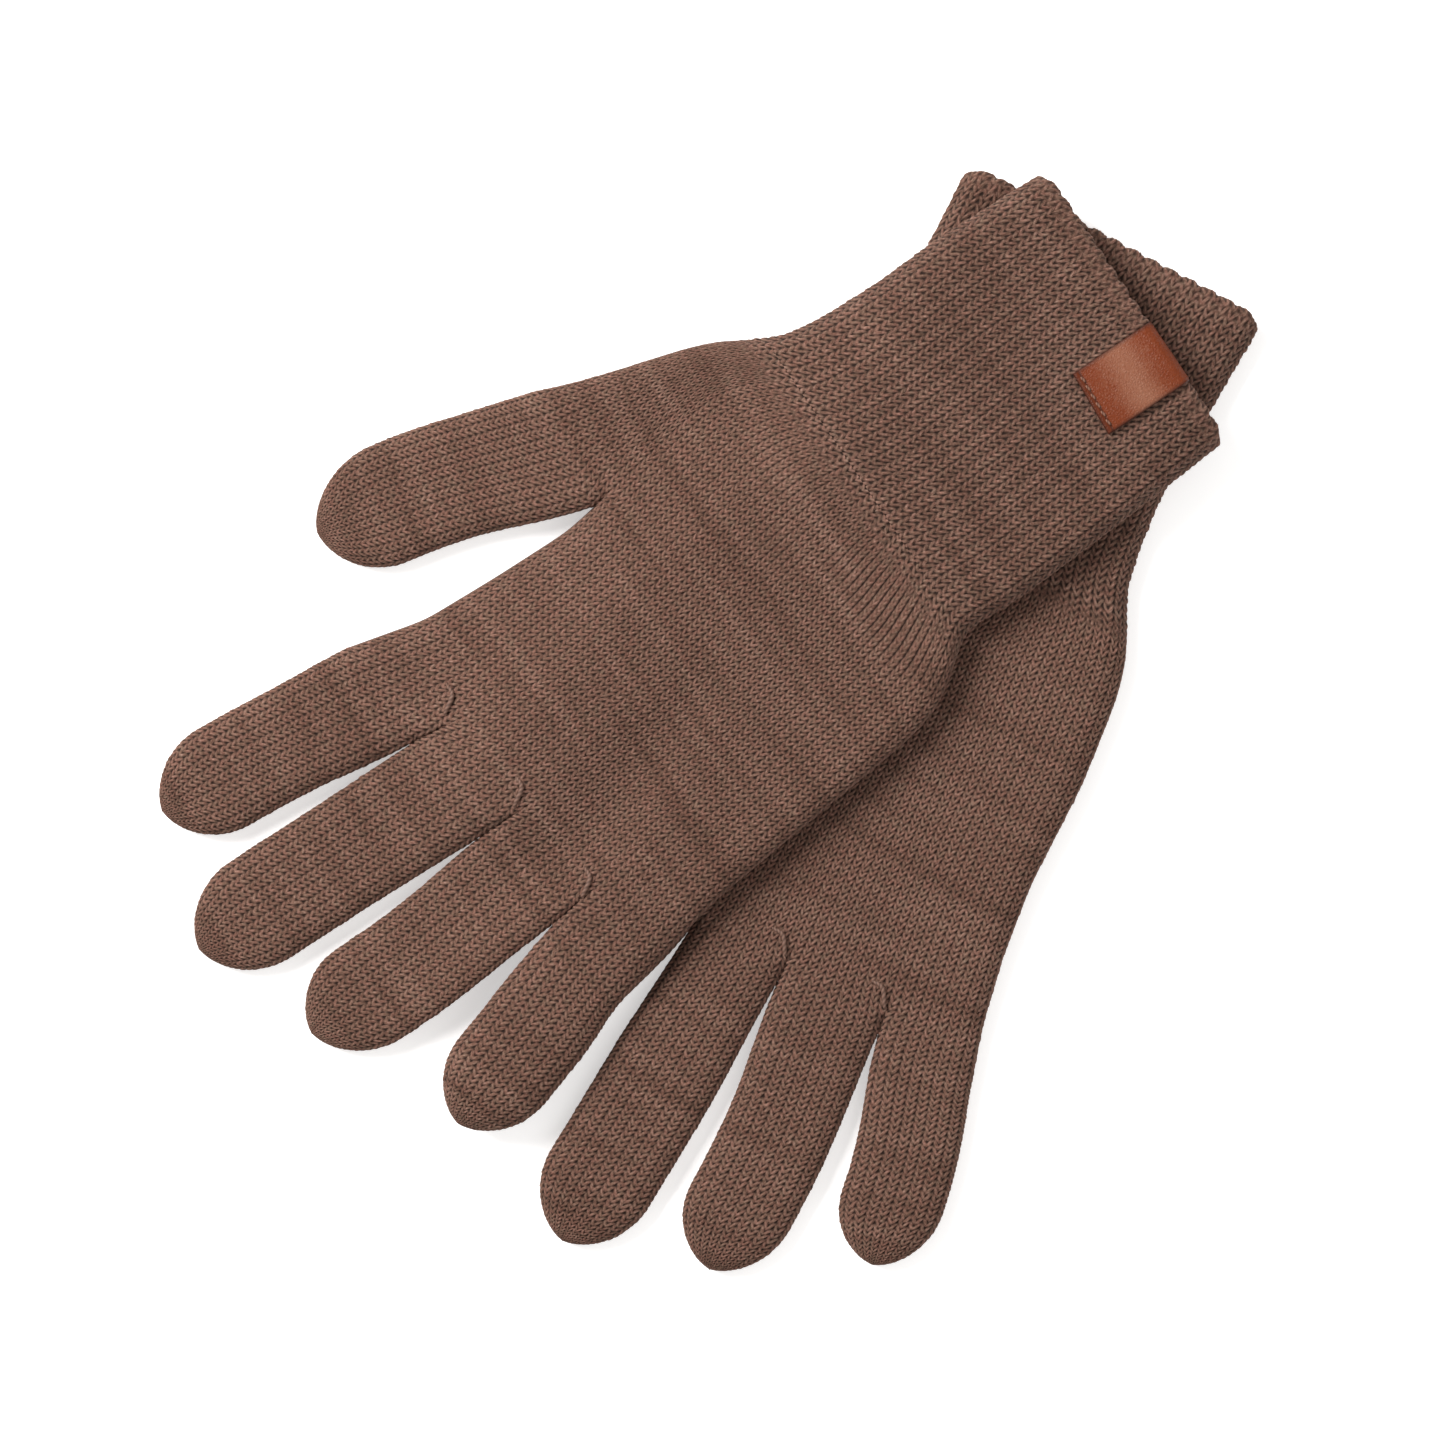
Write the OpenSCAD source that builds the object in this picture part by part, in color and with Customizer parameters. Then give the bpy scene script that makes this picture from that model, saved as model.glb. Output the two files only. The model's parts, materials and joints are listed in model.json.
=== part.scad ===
// A pair of knitted wool gloves laid flat: the left glove, back up, crosses the right glove, palm up.
// +Y runs along the left glove from cuff mouth to fingertips, +X points to its thumb, +Z is up.

/* [Cuff] */
// Length of the ribbed cuff from mouth to wrist
cuff_length = 75; // [60:1:90]
// Width of the cuff lying flat
cuff_width = 80; // [72:1:86]
// Height of the flattened cuff
cuff_height = 8.4; // [8:0.1:9]
// Thickness of the rib knit
rib_wall = 1.8; // [1.4:0.1:2]
// Length of the cast-on edge at the mouth
edge_length = 6.5; // [4:0.5:9]

/* [Hand] */
// Height of the flattened hand
hand_height = 8; // [7.6:0.1:8.6]
// Thickness of the plain knit
knit_wall = 1.6; // [1.2:0.1:1.8]
// Height of a flattened finger at its root
finger_height = 6.6; // [5.5:0.1:7.4]
// Thickness of the knit of a finger
finger_wall = 1.5; // [1.1:0.1:1.7]
// How far the flat edges are rounded towards the crown
crown_run = 10; // [6:0.5:11]

/* [Leather label] */
// Width of the label across the cuff
label_width = 17; // [12:1:24]
// Length of the leaf that shows on the back of the cuff
label_length = 23; // [16:1:30]
// Length of the leaf folded inside the cuff
label_turn_in = 14; // [8:1:20]
// Thickness of the leather
leather = 1.2; // [0.8:0.1:1.4]

/* [Lay of the pair] */
// Angle between the two gloves
cross_angle = 28; // [26:0.5:30]
// Clearance between pieces that move apart
gap = 0.3; // [0.3:0.05:0.4]

/* [Hidden] */

wool = [0.44, 0.32, 0.27];
wool_edge = [0.40, 0.29, 0.25];
join_yarn = [0.33, 0.24, 0.20];
tan_leather = [0.56, 0.36, 0.24];
label_thread = [0.36, 0.18, 0.09];

// The right glove lies turned by cross_angle, with its own cuff centre here
right_place = [18, -2];
// The right wrist is bent a little, and its fingers lean towards the thumb
right_cuff_shift = -5;
right_lean = 6;
// Bottom of the left glove where the right glove carries it
rise = cuff_height + 0.4;
// Distance over which the left glove drapes from the right glove down to the ground
drape_run = 34;
// Moves the measuring frame, whose origin is the middle of the left cuff's mouth, to the part's origin
to_origin = [41.68, -121.53, 0];

// Wrist row and knuckle row of each glove, left edge then right edge
wrist_row = [[-42, cuff_length], [41, cuff_length]];
left_knuckles = [[-70.5, 193.4], [37, 199]];
right_knuckles = [[-70, 190], [36, 190]];

// Rows of the hand between the wrist and the knuckles
palm_rows = [
    [[-49.5, 83], [43.5, 83]], [[-54.5, 92], [43, 92]], [[-57, 106], [39, 106]],
    [[-59, 124], [33, 124]], [[-60.5, 142], [30.5, 142]], [[-62.5, 160], [30.5, 160]],
    [[-65.5, 177], [32, 177]]
];

// Rows of the thumb's root, from inside the hand to the thumb's fold line
thumb_root_rows = [
    [[14, 84], [40, 79]], [[17, 94], [49.5, 91]], [[20, 106], [54, 104]],
    [[24, 116], [57.5, 114]], [[28, 124], [60.3, 121.5]], [[31.8, 131], [62.5, 128]]
];

// A digit: root's left and right edge along its fold line, the tip, and the width near the tip
left_thumb_plan = [[31.8, 131], [62.5, 128], [62, 190.5], 26];
left_index_plan = [[9.3, 197.6], [36.8, 199], [28.6, 258.5], 24.6];
left_middle_plan = [[-18.3, 196.2], [8.9, 197.5], [-4, 269], 25];
left_ring_plan = [[-45.3, 194.7], [-18.7, 196.1], [-34.6, 258.5], 24.6];
left_little_plan = [[-70.3, 193.4], [-45.7, 194.7], [-71.5, 241.5], 23.4];
right_index_plan = [[6.4, 190], [34, 190], [28.5, 258], 24.6];
right_middle_plan = [[-17.3, 190], [5.2, 190], [-3.6, 268], 23.5];
right_ring_plan = [[-44.3, 190], [-17.7, 190], [-35.5, 258], 24.6];
right_little_plan = [[-69.8, 190], [-44.7, 190], [-69.5, 239], 23.4];

// Places where the linking yarn closes the knit between two fingers
left_crotches = [[-45.5, 193.2], [-18.5, 194.6], [9.1, 196]];
right_crotches = [[-44.5, 188.5], [-17.5, 188.5], [5.8, 188.5]];
join_d = 2.2;
join_bite = 0.2;

label_left = -23;
stitch_inset = 1.6;
stitch_pitch = 2.3;
stitch_length = 1.6;
thread_d = 0.6;

// Columns between the rounded edges of a wide row, a digit's row and a row of the thumb's root
wide_mids = 9;
digit_mids = 1;
root_mids = 3;
// How much lower than the hand the thumb's root is at each side
root_step = 0.6;

function mix(a, b, t) = a + (b - a) * t;
function ease(t) = let (u = min(1, max(0, t))) u * u * (3 - 2 * u);
function unit(v) = v / norm(v);
function lean(plan, amount) = [plan[0], plan[1], plan[2] + [amount, 0], plan[3]];

// Distance of a point from the part of the right glove that carries the left glove
support_a = [50, 14];
support_b = [4, 194];
support_c = [-42, 190];
support_d = [-57, 238];
function beyond(p, a, b) = let (t = unit(b - a), v = p - a) v[0] * t[1] - v[1] * t[0];
function past(p, a, b) = (p - b) * unit(b - a);
function off_palm(p) = norm([max(0, beyond(p, support_a, support_b)), max(0, past(p, support_a, support_b))]);
function off_finger(p) = max(0, beyond(p, support_c, support_d));
function drape(p) = gap + (rise - gap) * (1 - ease(min(off_palm(p), off_finger(p)) / drape_run));

// Height of the flat lower side and of the crowned upper side at a distance from the edge
function edge_height(h) = 0.4 * h;
function lower(e, h) = let (r = edge_height(h)) e >= r ? 0 : r - sqrt(r * r - (r - e) * (r - e));
function upper(e, h, c) =
    let (r = edge_height(h), k = 1 - min(1, e / c)) r + (h - r) * sqrt(1 - k * k);

// Distances of a row's columns from its left edge: four at each rounded edge, some between
function columns(w, mids) =
    let (c = min(w / 2.2, crown_run), edge = [0, 0.08, 0.28, 0.62] * c)
    concat(edge,
           [for (k = [0:mids - 1]) mids == 1 ? w / 2 : mix(c, w - c, k / (mids - 1))],
           [for (k = [3:-1:0]) w - edge[k]]);

// One closed ring across a row: the lower side from left to right, then back along the upper side
function ring(row, h, inset, mids, draped) =
    let (a = row[0], b = row[1], w = norm(b - a), c = min(w / 2.2, crown_run),
         cols = columns(w, mids), last = len(cols) - 1)
    concat(
        [for (k = [0:last]) ring_point(a, b, w, cols[k], h, inset, c, draped, false)],
        [for (k = [last - 1:-1:1]) ring_point(a, b, w, cols[k], h, inset, c, draped, true)]);
function ring_point(a, b, w, e, h, inset, c, draped, on_top) =
    let (p = mix(a, b, e / w), m = min(e, w - e), z = on_top ? upper(m, h, c) : lower(m, h))
    [p[0], p[1], z + inset + (draped ? drape(p) : 0)];

function inset_row(row, d) = let (u = unit(row[1] - row[0]) * d) [row[0] + u, row[1] - u];

// Rows of a digit: it narrows to its tip width and closes in a rounded tip
tip_turns = [0, 24, 44, 60, 73, 83];
function digit_row(plan, s, half) =
    let (root = (plan[0] + plan[1]) / 2, along = unit(plan[2] - root), across = [along[1], -along[0]],
         turn = ease(s / 18), u = unit(mix(unit(plan[1] - plan[0]), across, turn)),
         p = root + along * s)
    [p - u * half, p + u * half];
function digit_rows(plan, inset) =
    let (root = (plan[0] + plan[1]) / 2, reach = norm(plan[2] - root), r = plan[3] / 2,
         root_half = norm(plan[1] - plan[0]) / 2, body = reach - r)
    concat(
        [for (k = [0:5]) digit_row(plan, mix(gap, body, k / 6), mix(root_half, r, k / 6) - inset)],
        [for (t = tip_turns) digit_row(plan, body + (r - inset) * sin(t), (r - inset) * cos(t))]);
function digit_height(k) =
    finger_height * (k < 6 ? mix(1, 0.92, k / 6) : 0.92 * mix(0.62, 1, cos(tip_turns[k - 6])));

function chain(rings) = [for (r = rings) each r];
function wall_faces(rings, n, start, outward) = [
    for (i = [0:rings - 2], j = [0:n - 1])
        let (a = start + i * n + j, b = start + i * n + (j + 1) % n, c = b + n, d = a + n)
        each outward ? [[a, b, c], [a, c, d]] : [[a, c, b], [a, d, c]]
];
function rim_faces(outer, inner, n, at_start) = [
    for (j = [0:n - 1])
        let (k = (j + 1) % n, a = outer + j, b = outer + k, c = inner + k, d = inner + j)
        each at_start ? [[a, d, c], [a, c, b]] : [[a, b, c], [a, c, d]]
];
function run(start, n, reversed) = [for (j = [0:n - 1]) start + (reversed ? n - 1 - j : j)];

// A solid swept through its rings, flat at both ends
module loft(rings) {
    n = len(rings[0]);
    m = len(rings);
    polyhedron(
        points = chain(rings),
        faces = concat([run(0, n, true)], wall_faces(m, n, 0, true), [run((m - 1) * n, n, false)]),
        convexity = 6);
}

// A hollow sweep, open at its first ring and either open or closed at its last
module sock(outer, inner, closed) {
    n = len(outer[0]);
    m = len(outer);
    far = m * n;
    ends = closed
        ? [run(far - n, n, false), run(2 * far - n, n, true)]
        : rim_faces(far - n, 2 * far - n, n, false);
    polyhedron(
        points = concat(chain(outer), chain(inner)),
        faces = concat(wall_faces(m, n, 0, true), wall_faces(m, n, far, false),
                       rim_faces(0, far, n, true), ends),
        convexity = 10);
}

// A digit as a closed sock of knit
module digit(plan, draped) {
    outer_rows = digit_rows(plan, 0);
    inner_rows = digit_rows(plan, finger_wall);
    count = len(outer_rows) - 1;
    sock(
        [for (k = [0:count]) ring(outer_rows[k], digit_height(k), 0, digit_mids, draped)],
        [for (k = [0:count])
            ring(inner_rows[k], digit_height(k) - 2 * finger_wall, finger_wall, digit_mids, draped)],
        true);
}

// A tube of knit of even height through rows
module tube(rows, h, wall, draped) {
    sock(
        [for (r = rows) ring(r, h, 0, wide_mids, draped)],
        [for (r = rows) ring(inset_row(r, wall), h - 2 * wall, wall, wide_mids, draped)],
        false);
}

function shifted_row(row, dx) = [row[0] + [dx, 0], row[1] + [dx, 0]];
function cuff_row(y, widen, dx) = [[-cuff_width / 2 - widen - 0.7 + dx, y], [cuff_width / 2 - 1.3 + dx, y]];
function cuff_rows(dx) = [
    cuff_row(edge_length / 2, 0, dx), cuff_row(cuff_length * 0.4, 1, dx),
    cuff_row(cuff_length * 0.75, 2, dx), shifted_row(inset_row(wrist_row, 0), dx) - [[0, gap], [0, gap]]
];
function edge_rows(dx) = [
    inset_row(cuff_row(-edge_length / 2, 0, dx), 1), cuff_row(1 - edge_length / 2, 0, dx),
    cuff_row(edge_length / 2, 0, dx)
];

// The hand: a tube from wrist to knuckles with the thumb's root grown from its side
module hand_tube(inset, reach, knuckles, dx, draped) {
    rows = concat(
        [shifted_row(wrist_row, dx) - [[0, reach], [0, reach]]], [palm_first(dx)],
        [for (k = [1:len(palm_rows) - 1]) palm_rows[k]], [knuckles + [[0, reach], [0, reach]]]);
    loft([for (r = rows) ring(inset_row(r, inset), hand_height - 2 * inset, inset, wide_mids, draped)]);
}
function palm_first(dx) = shifted_row(palm_rows[0], dx * 0.6);
module thumb_tube(inset, reach, draped) {
    last = len(thumb_root_rows) - 1;
    height = hand_height - 2 * (root_step + inset);
    rows = [for (k = [0:last]) k < last ? thumb_root_rows[k] : thumb_root_rows[k] + [[0, reach], [0, reach]]];
    rings = [for (r = rows) ring(inset_row(r, inset), height, inset + root_step, root_mids, draped)];
    for (k = [1:last]) hull() loft([rings[k - 1], rings[k]]);
}
module hand(knuckles, dx, draped) {
    difference() {
        union() {
            hand_tube(0, 0, knuckles, dx, draped);
            thumb_tube(0, 0, draped);
        }
        hand_tube(knit_wall, 1, knuckles, dx, draped);
        thumb_tube(knit_wall, 1, draped);
    }
}

// Yarn posts that close the knit between two fingers
module finger_joins(places, draped) {
    for (p = places)
        translate([p[0], p[1], knit_wall - join_bite + (draped ? drape(p) : 0)])
            cylinder(d = join_d, h = hand_height - 2 * knit_wall + 2 * join_bite, $fn = 24);
}

module left_frame() {
    translate(to_origin) children();
}
module right_frame() {
    translate(to_origin) translate(right_place) rotate(cross_angle) children();
}

module left_rib_cuff() { color(wool) left_frame() tube(cuff_rows(0), cuff_height, rib_wall, true); }
module left_cuff_edge() { color(wool_edge) left_frame() tube(edge_rows(0), cuff_height, rib_wall, true); }

// Leather folded over the back layer of the cuff's mouth, on both sides of the knit
module left_leather_label() {
    top = rise + cuff_height;
    mouth = -edge_length / 2;
    mid = top - rib_wall / 2;
    slack = 0.1;
    bend = rib_wall / 2 + slack;
    color(tan_leather) left_frame() translate([label_left, 0, 0]) rotate([90, 0, 90])
        linear_extrude(label_width) {
            translate([mouth, top + slack]) square([label_length - leather - bend, leather]);
            translate([mouth, top - rib_wall - slack - leather]) square([label_turn_in, leather]);
            translate([mouth, mid]) difference() {
                circle(r = bend + leather, $fn = 64);
                circle(r = bend, $fn = 64);
                translate([0, -3 * bend]) square(6 * bend);
            }
        }
}

// A row of thread stitches near the label's inner end
module left_label_stitching() {
    count = floor((label_width - 2) / stitch_pitch);
    first = label_left + (label_width - (count - 1) * stitch_pitch - stitch_length) / 2;
    y = label_length - leather - rib_wall / 2 - edge_length / 2 - stitch_inset;
    z = rise + cuff_height + 0.1 + leather + thread_d / 2;
    color(label_thread) left_frame()
        for (k = [0:count - 1])
            translate([first + k * stitch_pitch, y, z]) rotate([0, 90, 0])
                cylinder(d = thread_d, h = stitch_length, $fn = 24);
}

module left_hand() { color(wool) left_frame() hand(left_knuckles, 0, true); }
module left_finger_joins() { color(join_yarn) left_frame() finger_joins(left_crotches, true); }
module left_thumb() { color(wool) left_frame() digit(left_thumb_plan, true); }
module left_index_finger() { color(wool) left_frame() digit(left_index_plan, true); }
module left_middle_finger() { color(wool) left_frame() digit(left_middle_plan, true); }
module left_ring_finger() { color(wool) left_frame() digit(left_ring_plan, true); }
module left_little_finger() { color(wool) left_frame() digit(left_little_plan, true); }

module right_rib_cuff() {
    color(wool) right_frame() tube(cuff_rows(right_cuff_shift), cuff_height, rib_wall, false);
}
module right_cuff_edge() {
    color(wool_edge) right_frame() tube(edge_rows(right_cuff_shift), cuff_height, rib_wall, false);
}
module right_hand() { color(wool) right_frame() hand(right_knuckles, right_cuff_shift, false); }
module right_finger_joins() { color(join_yarn) right_frame() finger_joins(right_crotches, false); }
module right_thumb() { color(wool) right_frame() digit(left_thumb_plan, false); }
module right_index_finger() { color(wool) right_frame() digit(lean(right_index_plan, right_lean), false); }
module right_middle_finger() { color(wool) right_frame() digit(lean(right_middle_plan, right_lean), false); }
module right_ring_finger() { color(wool) right_frame() digit(lean(right_ring_plan, right_lean), false); }
module right_little_finger() { color(wool) right_frame() digit(lean(right_little_plan, right_lean), false); }

left_rib_cuff();
left_cuff_edge();
left_leather_label();
left_label_stitching();
left_hand();
left_finger_joins();
left_thumb();
left_index_finger();
left_middle_finger();
left_ring_finger();
left_little_finger();
right_rib_cuff();
right_cuff_edge();
right_hand();
right_finger_joins();
right_thumb();
right_index_finger();
right_middle_finger();
right_ring_finger();
right_little_finger();
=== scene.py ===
"""A pair of heathered knitted wool gloves with a small leather label, laid one across the other.

Lengths are in millimetres in each glove's own plan: +Y runs from the cuff's mouth to the fingertips and +X
points to the thumb. A Lay, worked out from the frame's joints, places that plan on the table.
"""

import json
import logging
import math
from dataclasses import dataclass, field
from enum import Enum
from typing import Any, Iterable, Sequence

import bpy
import numpy as np
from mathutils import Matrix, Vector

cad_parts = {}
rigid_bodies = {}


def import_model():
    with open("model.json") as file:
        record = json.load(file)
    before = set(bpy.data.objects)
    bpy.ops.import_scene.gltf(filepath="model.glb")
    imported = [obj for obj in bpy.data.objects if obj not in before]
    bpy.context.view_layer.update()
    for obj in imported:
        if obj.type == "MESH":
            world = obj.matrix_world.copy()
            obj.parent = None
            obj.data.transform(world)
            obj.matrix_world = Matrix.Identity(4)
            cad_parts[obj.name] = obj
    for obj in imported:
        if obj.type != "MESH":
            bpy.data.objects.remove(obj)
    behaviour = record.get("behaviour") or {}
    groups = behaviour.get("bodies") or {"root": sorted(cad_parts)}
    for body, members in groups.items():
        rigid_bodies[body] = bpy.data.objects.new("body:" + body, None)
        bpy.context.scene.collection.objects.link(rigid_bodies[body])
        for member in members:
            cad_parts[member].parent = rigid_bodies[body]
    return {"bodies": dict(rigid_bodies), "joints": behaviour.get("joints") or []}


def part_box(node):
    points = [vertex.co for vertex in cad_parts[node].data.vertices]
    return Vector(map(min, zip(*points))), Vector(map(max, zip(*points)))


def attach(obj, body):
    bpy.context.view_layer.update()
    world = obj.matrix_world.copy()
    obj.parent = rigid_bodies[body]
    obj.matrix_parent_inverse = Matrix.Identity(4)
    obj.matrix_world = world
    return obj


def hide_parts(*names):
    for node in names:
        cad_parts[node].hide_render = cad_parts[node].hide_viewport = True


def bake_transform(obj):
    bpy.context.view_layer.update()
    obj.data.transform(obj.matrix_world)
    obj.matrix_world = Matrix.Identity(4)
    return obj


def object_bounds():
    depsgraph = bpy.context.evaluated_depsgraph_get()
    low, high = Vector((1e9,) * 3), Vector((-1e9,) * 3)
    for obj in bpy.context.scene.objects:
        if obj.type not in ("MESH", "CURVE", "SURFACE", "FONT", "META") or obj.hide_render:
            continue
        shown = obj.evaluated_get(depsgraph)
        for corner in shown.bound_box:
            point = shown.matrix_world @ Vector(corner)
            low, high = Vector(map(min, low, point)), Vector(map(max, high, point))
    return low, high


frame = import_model()
CAD_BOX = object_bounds()

LOG = logging.getLogger("gloves")
MM = 0.001
SEED = 11
TINY = 1e-9  # keeps a division or a cell's number from failing at its very end
KEY_BITS = 21  # of each coordinate in a weld's key
BLUR_REACH = 3.0  # how far an outline is blurred, in spreads
BLUR_STEP = 0.5  # the spacing of the blur's samples, in millimetres
POINT_R = 0.001  # the radius of a thread's closed end, in millimetres

Points = Sequence[tuple[float, float]]
Values = dict[str, np.ndarray]
Colour = tuple[float, float, float]


class Side(Enum):
    """Which glove a piece belongs to."""

    LEFT = "left"
    RIGHT = "right"


class Face(Enum):
    """Which sheet of a flattened tube: the one on top or the one that faces the table."""

    UPPER = "upper"
    LOWER = "lower"


def ease(value: "np.ndarray | float") -> np.ndarray:
    """Return the smooth step from 0 to 1 of a value, clipped first."""
    clipped = np.clip(value, 0.0, 1.0)
    return clipped * clipped * (3.0 - 2.0 * clipped)


def bulge(value: np.ndarray) -> np.ndarray:
    """Return a quarter circle's height from 0 to 1 as its clipped argument goes from 0 to 1."""
    return np.sqrt(1.0 - (1.0 - np.clip(value, 0.0, 1.0)) ** 2)


def unit(vectors: np.ndarray) -> np.ndarray:
    """Return vectors, which run along the last axis, at length 1."""
    return vectors / np.maximum(np.linalg.norm(vectors, axis=-1, keepdims=True), TINY)


def joint(name: str) -> dict[str, Any]:
    """Return the frame's joint of that name."""
    return next(j for j in frame["joints"] if j["name"] == name)


# --------------------------------------------------------------------------- shader nodes


class Mixing(Enum):
    """How one colour goes over another."""

    OVER = "MIX"
    TIMES = "MULTIPLY"


class Wire:
    """A number or vector socket whose arithmetic adds Math nodes."""

    def __init__(self, shop: "NodeShop", socket: bpy.types.NodeSocket) -> None:
        """Hold a socket and the material that it belongs to."""
        self.shop = shop
        self.socket = socket

    def math(self, operation: str, first: Any, second: Any) -> "Wire":
        """Return the wire of a Math node on two values."""
        return self.shop.node("ShaderNodeMath", {"operation": operation}, {0: first, 1: second})

    def __add__(self, other: Any) -> "Wire":
        """Add."""
        return self.math("ADD", self, other)

    __radd__ = __add__

    def __sub__(self, other: Any) -> "Wire":
        """Take the other away."""
        return self.math("SUBTRACT", self, other)

    def __rsub__(self, other: Any) -> "Wire":
        """Take this away from the other."""
        return self.math("SUBTRACT", other, self)

    def __mul__(self, other: Any) -> "Wire":
        """Multiply."""
        return self.math("MULTIPLY", self, other)

    __rmul__ = __mul__

    def __pow__(self, power: Any) -> "Wire":
        """Raise to a power."""
        return self.math("POWER", self, power)


class NodeShop:
    """Makes the nodes of one material."""

    def __init__(self, name: str) -> None:
        """Start a material with nothing but its surface shader."""
        self.material = bpy.data.materials.new(name)
        self.material.use_nodes = True
        self.tree = self.material.node_tree
        self.shader = self.tree.nodes["Principled BSDF"]

    def node(self, kind: str, settings: dict[str, Any], inputs: dict[Any, Any], out: Any = 0) -> Wire:
        """Add a node.

        Args:
            kind: the node's type.
            settings: its own settings; "stops" are a ramp's places and colours.
            inputs: values or wires, by socket.
            out: which output to return.

        Returns:
            The wire of that output.
        """
        made = self.tree.nodes.new(kind)
        for key, value in settings.items():
            if key == "stops":
                ramp = made.color_ramp.elements
                while len(ramp) < len(value):
                    ramp.new(0.5)
                for element, (place, colour) in zip(ramp, value):
                    element.position = place
                    element.color = (*colour, 1.0)
            else:
                setattr(made, key, value)
        for key, value in inputs.items():
            self.feed(made.inputs[key], value)
        return Wire(self, made.outputs[out])

    def feed(self, socket: bpy.types.NodeSocket, value: Any) -> None:
        """Link a wire to a socket, or set the socket to a value.

        Args:
            socket: the socket.
            value: a wire, a number, a vector or a colour of three parts.
        """
        if isinstance(value, Wire):
            self.tree.links.new(value.socket, socket)
        elif isinstance(value, tuple) and socket.type == "RGBA":
            socket.default_value = (*value, 1.0)
        else:
            socket.default_value = value

    def surface(self, **inputs: Any) -> None:
        """Set the surface shader's sockets, whose names have underscores for spaces."""
        for key, value in inputs.items():
            self.feed(self.shader.inputs[key.replace("_", " ")], value)

    def attribute(self, name: str) -> Wire:
        """Return the wire of a number kept on the mesh."""
        return self.node("ShaderNodeAttribute", {"attribute_name": name}, {}, "Fac")

    def noise(self, where: Wire, scale: float, detail: float = 2.0) -> Wire:
        """Return even noise from 0 to 1."""
        return self.node("ShaderNodeTexNoise", {}, {"Vector": where, "Scale": scale, "Detail": detail}, "Fac")

    def place(self) -> Wire:
        """Return where on the object a point is, in metres."""
        return self.node("ShaderNodeTexCoord", {}, {}, "Object")

    def vector(self, x: Any, y: Any, z: Any = 0.0) -> Wire:
        """Return a vector of three numbers."""
        return self.node("ShaderNodeCombineXYZ", {}, {0: x, 1: y, 2: z})

    def ramp(self, share: Wire, stops: Sequence[tuple[float, Colour]]) -> Wire:
        """Return the colour of a ramp."""
        return self.node("ShaderNodeValToRGB", {"stops": stops}, {0: share})

    def mix(self, under: Any, over: Any, share: Any, how: Mixing = Mixing.OVER) -> Wire:
        """Return one colour laid over another."""
        settings = {"data_type": "RGBA", "blend_type": how.value}
        return self.node("ShaderNodeMix", settings, {0: share, 6: under, 7: over}, 2)

    def bump(self, height: Wire, distance: float, strength: float = 1.0) -> Wire:
        """Return a normal raised by a height, the distance being in metres."""
        return self.node("ShaderNodeBump", {}, {"Height": height, "Distance": distance, "Strength": strength})


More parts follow.
